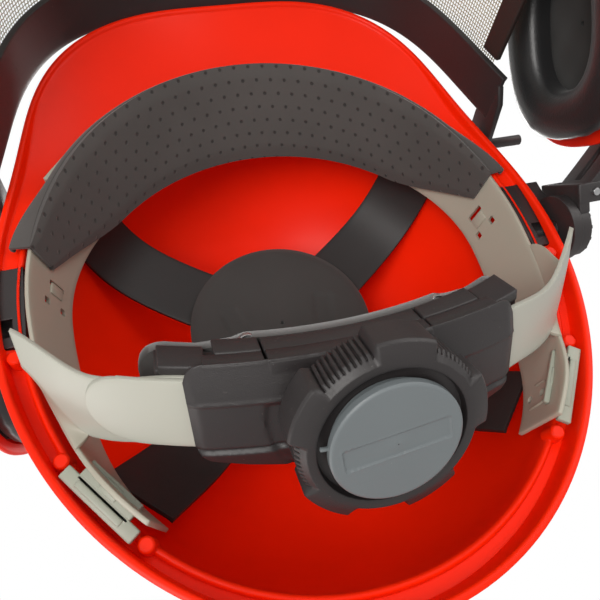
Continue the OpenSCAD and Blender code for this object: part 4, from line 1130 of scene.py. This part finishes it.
bo0, bo1, bo2, bo3 = 4.7, 5.5, 6.6, 7.4
z1_ = -155.0
tb = np.linspace(96, 264, 221)
OQ = [(bo3, z1_ + 9), (bo3, z1_ - 0.6), (bo3 - 0.5, z1_ - 1.3), (bo0 + 0.5, z1_ - 1.3), (bo0, z1_ - 0.6), (bo0, z1_ + 9)]
IQ = [(bo2, z1_ + 9), (bo2, z1_ - 0.0), (bo2 - 0.1, z1_ - 0.2), (bo1 + 0.1, z1_ - 0.2), (bo1, z1_ - 0.0), (bo1, z1_ + 9)]
A_ = np.stack([vis_pt(tb, o_, z_) for o_, z_ in OQ], 1)
B_ = np.stack([vis_pt(tb, o_, z_) for o_, z_ in IQ], 1)
bits = [slab("bind_low", A_, B_, M_BIND, 0.2, sharp=40)]
for s_ in (-1, 1):
    e_ = 180 + s_ * 84.0
    f_, g_ = e_ - s_ * 0.6, e_ - s_ * 5.486
    zs = np.linspace(-22, z1_ + 9.2, 50)
    OQ2 = [(g_, bo3), ((g_ + e_) / 2, bo3), (e_ - s_ * 0.25, bo3), (e_, bo3 - 0.5), (e_, bo0 + 0.5), (e_ - s_ * 0.25, bo0), ((g_ + e_) / 2, bo0), (g_, bo0)]
    IQ2 = [(g_, bo2), ((g_ + e_) / 2, bo2), (f_, bo2), (f_, bo2 - 0.2), (f_, bo1 + 0.2), (f_, bo1), ((g_ + e_) / 2, bo1), (g_, bo1)]
    A_ = np.stack([vis_pt(np.full(len(zs), t_), o_, zs) for t_, o_ in OQ2], 1)
    B_ = np.stack([vis_pt(np.full(len(zs), t_), o_, zs) for t_, o_ in IQ2], 1)
    bits.append(slab("bind_side", A_, B_, M_BIND, 0.2, sharp=40))
# stitches along the binding
stitch = []
for i, t_ in enumerate(np.linspace(98, 262, 84)):
    for oo in (bo3 + 0.05, bo0 - 0.05):
        a_, b2 = vis_pt(t_ - 0.55, oo, z1_ + 6.6), vis_pt(t_ + 0.55, oo, z1_ + 6.6)
        d_ = (b2 - a_) / np.linalg.norm(b2 - a_)
        n_ = unit(vis_pt(t_, oo + 1, z1_ + 6.6) - vis_pt(t_, oo, z1_ + 6.6))
        up_ = np.cross(d_, n_)
        M = np.eye(4); M[:3, 0], M[:3, 1], M[:3, 2], M[:3, 3] = d_, n_, up_, (a_ + b2) / 2
        L_ = np.linalg.norm(b2 - a_) / 2
        stitch.append(boxm("st", (-L_, -0.18, -0.2), (L_, 0.18, 0.2), M_BIND, 0.1, M, 1))
bits += stitch
put(join("visor_binding_tape", bits), "visor", "visor_binding", slot="binding")

# brackets beside the dome
bits = []
for s_ in (-1, 1):
    mir = np.diag([float(s_), 1, 1, 1])
    bits.append(prism("br", [(87.1, VY - 10), (105.2, VY - 10), (105.2, VY + 10), (96.7, VY + 10), (92.5, VY)], 14.4, 23.0, M_BLACK, 0.7, mir, 3))
    cut(bits[-1], [boxm("c", (80, VY - 11, 14), (97.5, VY + 11, 17.4), M_BLACK, 0, mir), revolve("c", [(0, -30), (2.5, -30), (2.5, 30), (0, 30)], M_BLACK, x_m(s_ * 102) @ mat4((VY, VZ, 0)), 40)], sharp=35)
    for y_ in (VY - 7.6, VY - 5.2, VY + 5.2, VY + 7.6):
        bits.append(boxm("rb", (99.5, y_ - 0.6, 22.8), (104.6, y_ + 0.6, 23.7), M_BLACK, 0.25, mir, 1))
put(join("visor_bracket_pair", bits), "helmet", "visor_brackets", slot="black")

# ------------------------------------------------------------------ ear muffs
MUFF_A = {"left": (1, -50.0), "right": (-1, 196.0)}
CZ = -81.0


def muff_m(side):
    s_, a = MUFF_A[side]
    return np.diag([float(s_), 1, 1, 1]) @ mat4((118, 16, 8), rx=a)


def oval(k, x, dw=0.0, n=144):
    a = np.radians(np.arange(n) * 360 / n)
    q = 2.5
    r_ = (np.abs(np.cos(a) / (37 * k + dw)) ** q + np.abs(np.sin(a) / (46 * k + dw)) ** q) ** (-1 / q)
    return np.stack([np.full(n, float(x)), r_ * np.cos(a), CZ + r_ * np.sin(a)], -1)


def torus(name, G, M, uv=None):
    nu, nv = G.shape[:2]
    F = []
    for i in range(nu):
        i2 = (i + 1) % nu
        for j in range(nv):
            j2 = (j + 1) % nv
            F.append((i * nv + j, i2 * nv + j, i2 * nv + j2, i * nv + j2))
    return raw(name, G.reshape(-1, 3), F, M, uv)


def y_m(M):
    """local x, y, z become muff x, z, -y"""
    Q = np.eye(4)
    Q[:3, :3] = np.array([[1, 0, 0], [0, 0, -1], [0, 1, 0]])
    return M @ Q


def ref_x(M, x):
    """local z runs along the muff's x"""
    Q = np.eye(4)
    Q[:3, :3] = np.array([[0, 0, 1], [1, 0, 0], [0, 1, 0]])
    Q[0, 3] = x
    return M @ Q


def close_ends(o):
    bm = bmesh.new(); bm.from_mesh(o.data)
    bmesh.ops.remove_doubles(bm, verts=bm.verts, dist=1e-6)
    bmesh.ops.holes_fill(bm, edges=bm.edges, sides=0)
    bmesh.ops.recalc_face_normals(bm, faces=bm.faces)
    bm.to_mesh(o.data); bm.free()
    return o


rng = np.random.default_rng(7)
for side in ("left", "right"):
    MU = muff_m(side)
    # swing base: hub disc with a raised rim, and two lugs
    bits = [revolve("hub", [(3.97, 0), (12.6, 0), (13, 0.4), (13, 4.4), (12.4, 5), (10.6, 5), (10.2, 4.4), (7.2, 4.4), (6.9, 5), (3.97, 5)], M_BLACK, ref_x(MU, 0), 96, 30)]
    neck = boxm("neck", (0, -11.9, -18), (4.95, 11.9, -6), M_BLACK, 0.6, MU, 3)
    cut(neck, [boxm("c", (3.2, -9.25, -24), (9, 9.25, -9.5), M_BLACK, 0.3, MU), revolve("c", [(0, -3), (7.0, -3), (7.0, 9), (0, 9)], M_BLACK, ref_x(MU, 0), 48)], sharp=35)
    bits.append(neck)
    for y_ in (-12, 9.3):
        lug = boxm("lug", (0.1, y_, -18), (10.5, y_ + 2.7, -10), M_BLACK, 0.5, MU, 3)
        cut(lug, [revolve("c", [(0, -20), (1.56, -20), (1.56, 20), (0, 20)], M_BLACK, y_m(MU) @ mat4((7.5, -14, 0)), 32)], sharp=35)
        bits.append(lug)
    for k in range(16):
        a = rad(k * 22.5)
        bits.append(boxm("tooth", (12.2, -0.7, 4.2), (13.0, 0.7, 4.9), M_BLACK, 0.15, ref_x(MU, 0) @ mat4(rz=k * 22.5), 1))
    put(join("swing_base_%s_body" % side, bits), "muff_swing_" + side, "swing_base_" + side, slot="black")
    # arm: bent strip with a groove and cross ribs
    P0 = [(5.4, -16.4), (7.5, -17.4), (14.6, -23.8), (26.2, -34.8), (34.6, -45.2), (38.4, -56.6), (38.4, -103.6), (39.0, -104), (42.2, -104), (42.8, -103.4), (42.8, -55.4), (38.6, -42.8), (29.7, -31.2), (18, -20.2), (10.4, -12.8)]
    body = prism("arm", [(x, z) for x, z in P0], -9, 9, M_BLACK, 0.9, y_m(MU), 4, 30)
    waist = [prism("c", [(30, -58.5), (50, -58.5), (50, -110), (30, -110)], 6.0, 12, M_BLACK, 0.8, y_m(MU)), prism("c", [(30, -58.5), (50, -58.5), (50, -110), (30, -110)], -12, -6.0, M_BLACK, 0.8, y_m(MU)),
             prism("c", [(8.4, -19.0), (14.4, -25.6), (25.8, -36.6), (33.8, -46.6), (37.0, -57.4), (37.0, -99), (39.8, -99), (39.8, -56.4), (36.0, -45.4), (27.6, -34.4), (16.2, -23.4), (11.5, -18.0)], -1.9, 1.9, M_BLACK, 0.3, y_m(MU)),
             revolve("c", [(0, -20), (1.56, -20), (1.56, 20), (0, 20)], M_BLACK, y_m(MU) @ mat4((7.5, -14, 0)), 32)]
    for w_ in waist:
        cut(body, [w_], sharp=32)
    bits = [body, revolve("eye", [(1.56, -9), (3.1, -9), (3.4, -8.7), (3.4, 8.7), (3.1, 9), (1.56, 9)], M_BLACK, y_m(MU) @ mat4((7.5, -14, 0)), 48)]
    for k in range(7):
        z_ = -66 - k * 5.0
        bits.append(boxm("tick", (42.6, -3.4, z_ - 0.35), (43.0, 3.4, z_ + 0.35), M_BLACK, 0.12, MU, 1))
    put(join("muff_arm_%s_body" % side, bits), "muff_arm_" + side, "muff_arm_" + side, slot="black")
    # yoke: sleeve on the arm, with grip ribs and the pivot nose
    yk = boxm("yk", (36.4, -9, CZ - 9), (45.0, 9, CZ + 13), M_BLACK, 1.1, MU, 4)
    cut(yk, [boxm("c", (38.3, -6.1, CZ - 40), (42.9, 6.1, CZ + 40), M_BLACK, 0.2, MU)], sharp=35)
    nose = boxm("nose", (30.3, -4.4, CZ - 4.4), (37.2, 4.4, CZ + 4.4), M_BLACK, 0.8, MU, 3)
    cut(nose, [revolve("c", [(0, -20), (1.56, -20), (1.56, 20), (0, 20)], M_BLACK, y_m(MU) @ mat4((32.4, CZ, 0)), 32)], sharp=35)
    bits = [yk, nose]
    for y_ in (-9.25, 8.75):
        for k in range(5):
            bits.append(boxm("gr", (38.4, y_, CZ - 6 + k * 3.2), (43.6, y_ + 0.5, CZ - 4.8 + k * 3.2), M_BLACK, 0.2, MU, 1))
    put(join("cup_yoke_%s_body" % side, bits), "cup_slide_" + side, "cup_yoke_" + side, slot="black")
    # cup
    pro = [(1, 12.4, 1.5), (1, 12.5, 2.6), (1, 14.2, 2.8), (1, 14.8, 1.6), (0.995, 16.5, 0.9), (0.965, 19.6, 0), (0.91, 22.6, 0), (0.84, 25.0, 0), (0.76, 26.6, 0), (0.70, 27.2, 0), (0.665, 27.3, 0), (0.64, 27.9, 0), (0.60, 28.5, 0), (0.45, 28.8, 0), (0.25, 28.9, 0), (0.02, 28.9, 0)]
    inn = [(0.94, 12.4, 0), (0.935, 14.5, 0), (0.90, 18, 0), (0.84, 20.9, 0), (0.78, 22.6, 0), (0.68, 24.4, 0), (0.55, 25.6, 0), (0.4, 26.1, 0), (0.24, 26.4, 0), (0.02, 26.5, 0)]
    fine = lambda L_: smooth_path([np.array(q) for q in L_], 2)
    po, pi_ = fine(pro), fine(inn)
    m_ = min(len(po), len(pi_))
    res = lambda Q, m: np.stack([np.interp(np.linspace(0, 1, m), np.linspace(0, 1, len(Q)), Q[:, k]) for k in range(3)], 1)
    po, pi_ = res(po, 56), res(pi_, 56)
    A_ = np.stack([oval(k, x, dw) for k, x, dw in po], 1)
    B_ = np.stack([oval(k, x, dw) for k, x, dw in pi_], 1)
    cup = slab("cup", A_, B_, M_SHELL, 0, closed=True, M=MU, sharp=45)
    close_ends(cup)
    cup.data.shade_smooth(); cup.data.set_sharp_from_angle(angle=rad(40))
    bits = [cup]
    for y_ in (-8.2, 4.8):
        ear = boxm("ear", (27, y_, CZ - 4), (34.8, y_ + 3.4, CZ + 4), M_SHELL, 0.9, MU, 3)
        cut(ear, [revolve("c", [(0, -20), (1.56, -20), (1.56, 20), (0, 20)], M_SHELL, y_m(MU) @ mat4((32.4, CZ, 0)), 32)], sharp=35)
        bits.append(ear)
    put(join("ear_cup_%s_shell" % side, bits), "cup_" + side, "ear_cup_" + side, slot="shell")
    # cushion: padded ring, swollen by cloth pressure, with puckers at the seam
    loop = [(12, -1.0), (10.8, 0.4), (8.4, 1.3), (6.2, 1.25), (4, 0.5), (2.2, -1.6), (1.0, -4.4), (0.3, -7.4), (0.2, -9.4), (0.7, -12.2), (1.9, -15), (3.4, -17), (5.4, -18), (8.6, -18.2), (12, -18)]
    lp = np.array(loop)
    d_ = np.concatenate([[0], np.cumsum(np.linalg.norm(np.diff(lp, axis=0), axis=1))])
    uu_ = np.linspace(0, d_[-1], 26)
    lp = np.stack([np.interp(uu_, d_, lp[:, k]) for k in (0, 1)], 1)
    nA_ = 120
    G = np.stack([oval(1, x, dw - 2.6, nA_) for x, dw in lp], 1)
    ph = np.arange(nA_) * 2 * math.pi / nA_
    seam = np.exp(-((lp[:, 0] - 9.6) / 0.9) ** 2) * (lp[:, 1] > -6)
    ctr = np.stack([np.full(nA_, 6.5)] + [oval(1, 6.5, -9, nA_)[:, k] for k in (1, 2)], 1)[:, None]
    rr_ = G - ctr
    rr_ /= np.linalg.norm(rr_, axis=-1, keepdims=True)
    puck = 0.22 * (np.sin(ph * 37 + 0.5 * np.sin(ph * 5)) + 0.6 * np.sin(ph * 23 + 1.3))
    near = np.exp(-((lp[:, 0] - 8.2) / 1.8) ** 2) * (lp[:, 1] > -6)
    G = G + rr_ * (-0.75 * seam[None, :, None] + puck[:, None, None] * near[None, :, None])
    G[..., 0] = np.minimum(G[..., 0], 12.1)
    cu = torus("cushion", G, MU)
    mask = np.tile((lp[:, 0] > 10.5) * 1.0, nA_)
    finish_mesh(cu, M_CUSHION, 75)
    soften(cu, 1.0, 0.55, 8, hold=lambda v, mk=mask: mk)
    cu.data.shade_smooth(); cu.data.set_sharp_from_angle(angle=rad(75))
    put(cu, "cup_" + side, "ear_cushion_" + side, slot="cushion")
    # foam liner inside the cup
    G = np.stack([oval(k, 14.2 + 0.9 * max(0, (k - 0.74) / 0.12) ** 2, 0, nA_) for k in np.linspace(0.02, 0.86, 20)], 1)
    H = np.stack([oval(min(k, 0.74 + 0 * k) if k < 0.74 else 0.74 + (k - 0.74) * 0.9, 20.2 - 2.6 * max(0, (k - 0.7) / 0.16) ** 1.5, 0, nA_) for k in np.linspace(0.02, 0.86, 20)], 1)
    G[..., 0] += 0.22 * np.sin(G[..., 1] / 3.1) * np.sin(G[..., 2] / 3.4)
    ef = slab("foam", G, H, M_EARFOAM, 0.0, closed=True, M=MU, sharp=70)
    close_ends(ef)
    soften(ef, 0.6, 0.35, 6)
    ef.data.shade_smooth(); ef.data.set_sharp_from_angle(angle=rad(65))
    put(ef, "cup_" + side, "ear_foam_" + side, slot="foam")


# ------------------------------------------------------------------ camera, stage and light
scene = bpy.context.scene
cam_d = bpy.data.cameras.new("camera")
cam = bpy.data.objects.new("camera", cam_d)
bpy.context.collection.objects.link(cam)
scene.camera = cam
cam_d.sensor_width = 36
cam_d.lens = 553.8 / 600 * 36
cam_d.clip_start = 0.01
cam_d.clip_end = 20
r = Vector((0.960, 0.264, -0.089)).normalized()
b = Vector((-0.204, 0.450, -0.869)).normalized()
u = b.cross(r).normalized()
r = u.cross(b).normalized()
R = Matrix((r, u, b)).transposed().to_4x4()
cam.matrix_world = Matrix.Translation(Vector((-0.0454, 0.1160, -0.2440))) @ R

stage_mat = Mat("floor_pale")
_lp = stage_mat.n("ShaderNodeLightPath")
_e = stage_mat.n("ShaderNodeEmission")
_e.inputs[0].default_value = (1, 1, 1, 1)
_e.inputs[1].default_value = 1.0
_t = stage_mat.n("ShaderNodeBsdfTransparent")
_g = stage_mat.n("ShaderNodeNewGeometry")
_mx = stage_mat.n("ShaderNodeMixShader")
stage_mat.l(_g.outputs["Backfacing"], _mx.inputs[0])
stage_mat.l(_e.outputs[0], _mx.inputs[1])
stage_mat.l(_t.outputs[0], _mx.inputs[2])
stage_mat.l(_mx.outputs[0], stage_mat.out.inputs[0])


def floor(name, z, facing_up):
    me = bpy.data.meshes.new(name)
    k = 3.0
    q = [(-k, -k, z), (k, -k, z), (k, k, z), (-k, k, z)]
    me.from_pydata(q, [], [(0, 1, 2, 3) if facing_up else (3, 2, 1, 0)])
    o = bpy.data.objects.new(name, me)
    bpy.context.collection.objects.link(o)
    me.materials.append(stage_mat.m)
    o.visible_shadow = False
    o.visible_diffuse = False
    o.visible_glossy = False
    o.visible_transmission = False
    return o


floor("floor_upper", 0.0535, False)
floor("floor_lower", cad_box[0][2] - 0.002, True)

w = bpy.data.worlds.new("studio")
scene.world = w
w.use_nodes = True
wt = w.node_tree
wt.nodes.clear()
wo = wt.nodes.new("ShaderNodeOutputWorld")
bg1 = wt.nodes.new("ShaderNodeBackground")
bg1.inputs[0].default_value = (1.0, 0.985, 0.965, 1)
bg1.inputs[1].default_value = 0.56
bg2 = wt.nodes.new("ShaderNodeBackground")
bg2.inputs[0].default_value = (1, 1, 1, 1)
bg2.inputs[1].default_value = 1.0
wm = wt.nodes.new("ShaderNodeMixShader")
wl = wt.nodes.new("ShaderNodeLightPath")
wt.links.new(wl.outputs["Is Camera Ray"], wm.inputs[0])
wt.links.new(bg1.outputs[0], wm.inputs[1])
wt.links.new(bg2.outputs[0], wm.inputs[2])
wt.links.new(wm.outputs[0], wo.inputs[0])


def area(name, loc, target, size, power, col=(1, 0.98, 0.95)):
    d = bpy.data.lights.new(name, "AREA")
    d.shape = "DISK"
    d.size = size
    d.energy = power
    d.color = col
    o = bpy.data.objects.new(name, d)
    bpy.context.collection.objects.link(o)
    loc, target = Vector(loc) + Vector((0, -0.005, -0.069)), Vector(target) + Vector((0, -0.005, -0.069))
    o.location = loc
    o.rotation_euler = (Vector(target) - Vector(loc)).to_track_quat("-Z", "Y").to_euler()
    return o


area("key_below", (-0.55, 0.35, -0.95), (0, 0.02, 0.03), 0.7, 10.5)
area("fill_below", (0.75, -0.25, -0.75), (0, 0, 0.03), 0.9, 4)
area("key_above", (0.7, -0.7, 1.1), (0, 0, 0.05), 0.8, 13)
area("fill_above", (-0.9, 0.6, 0.8), (0, 0, 0.05), 1.0, 8)
scene.view_settings.view_transform = "Standard"
scene.view_settings.look = "None"
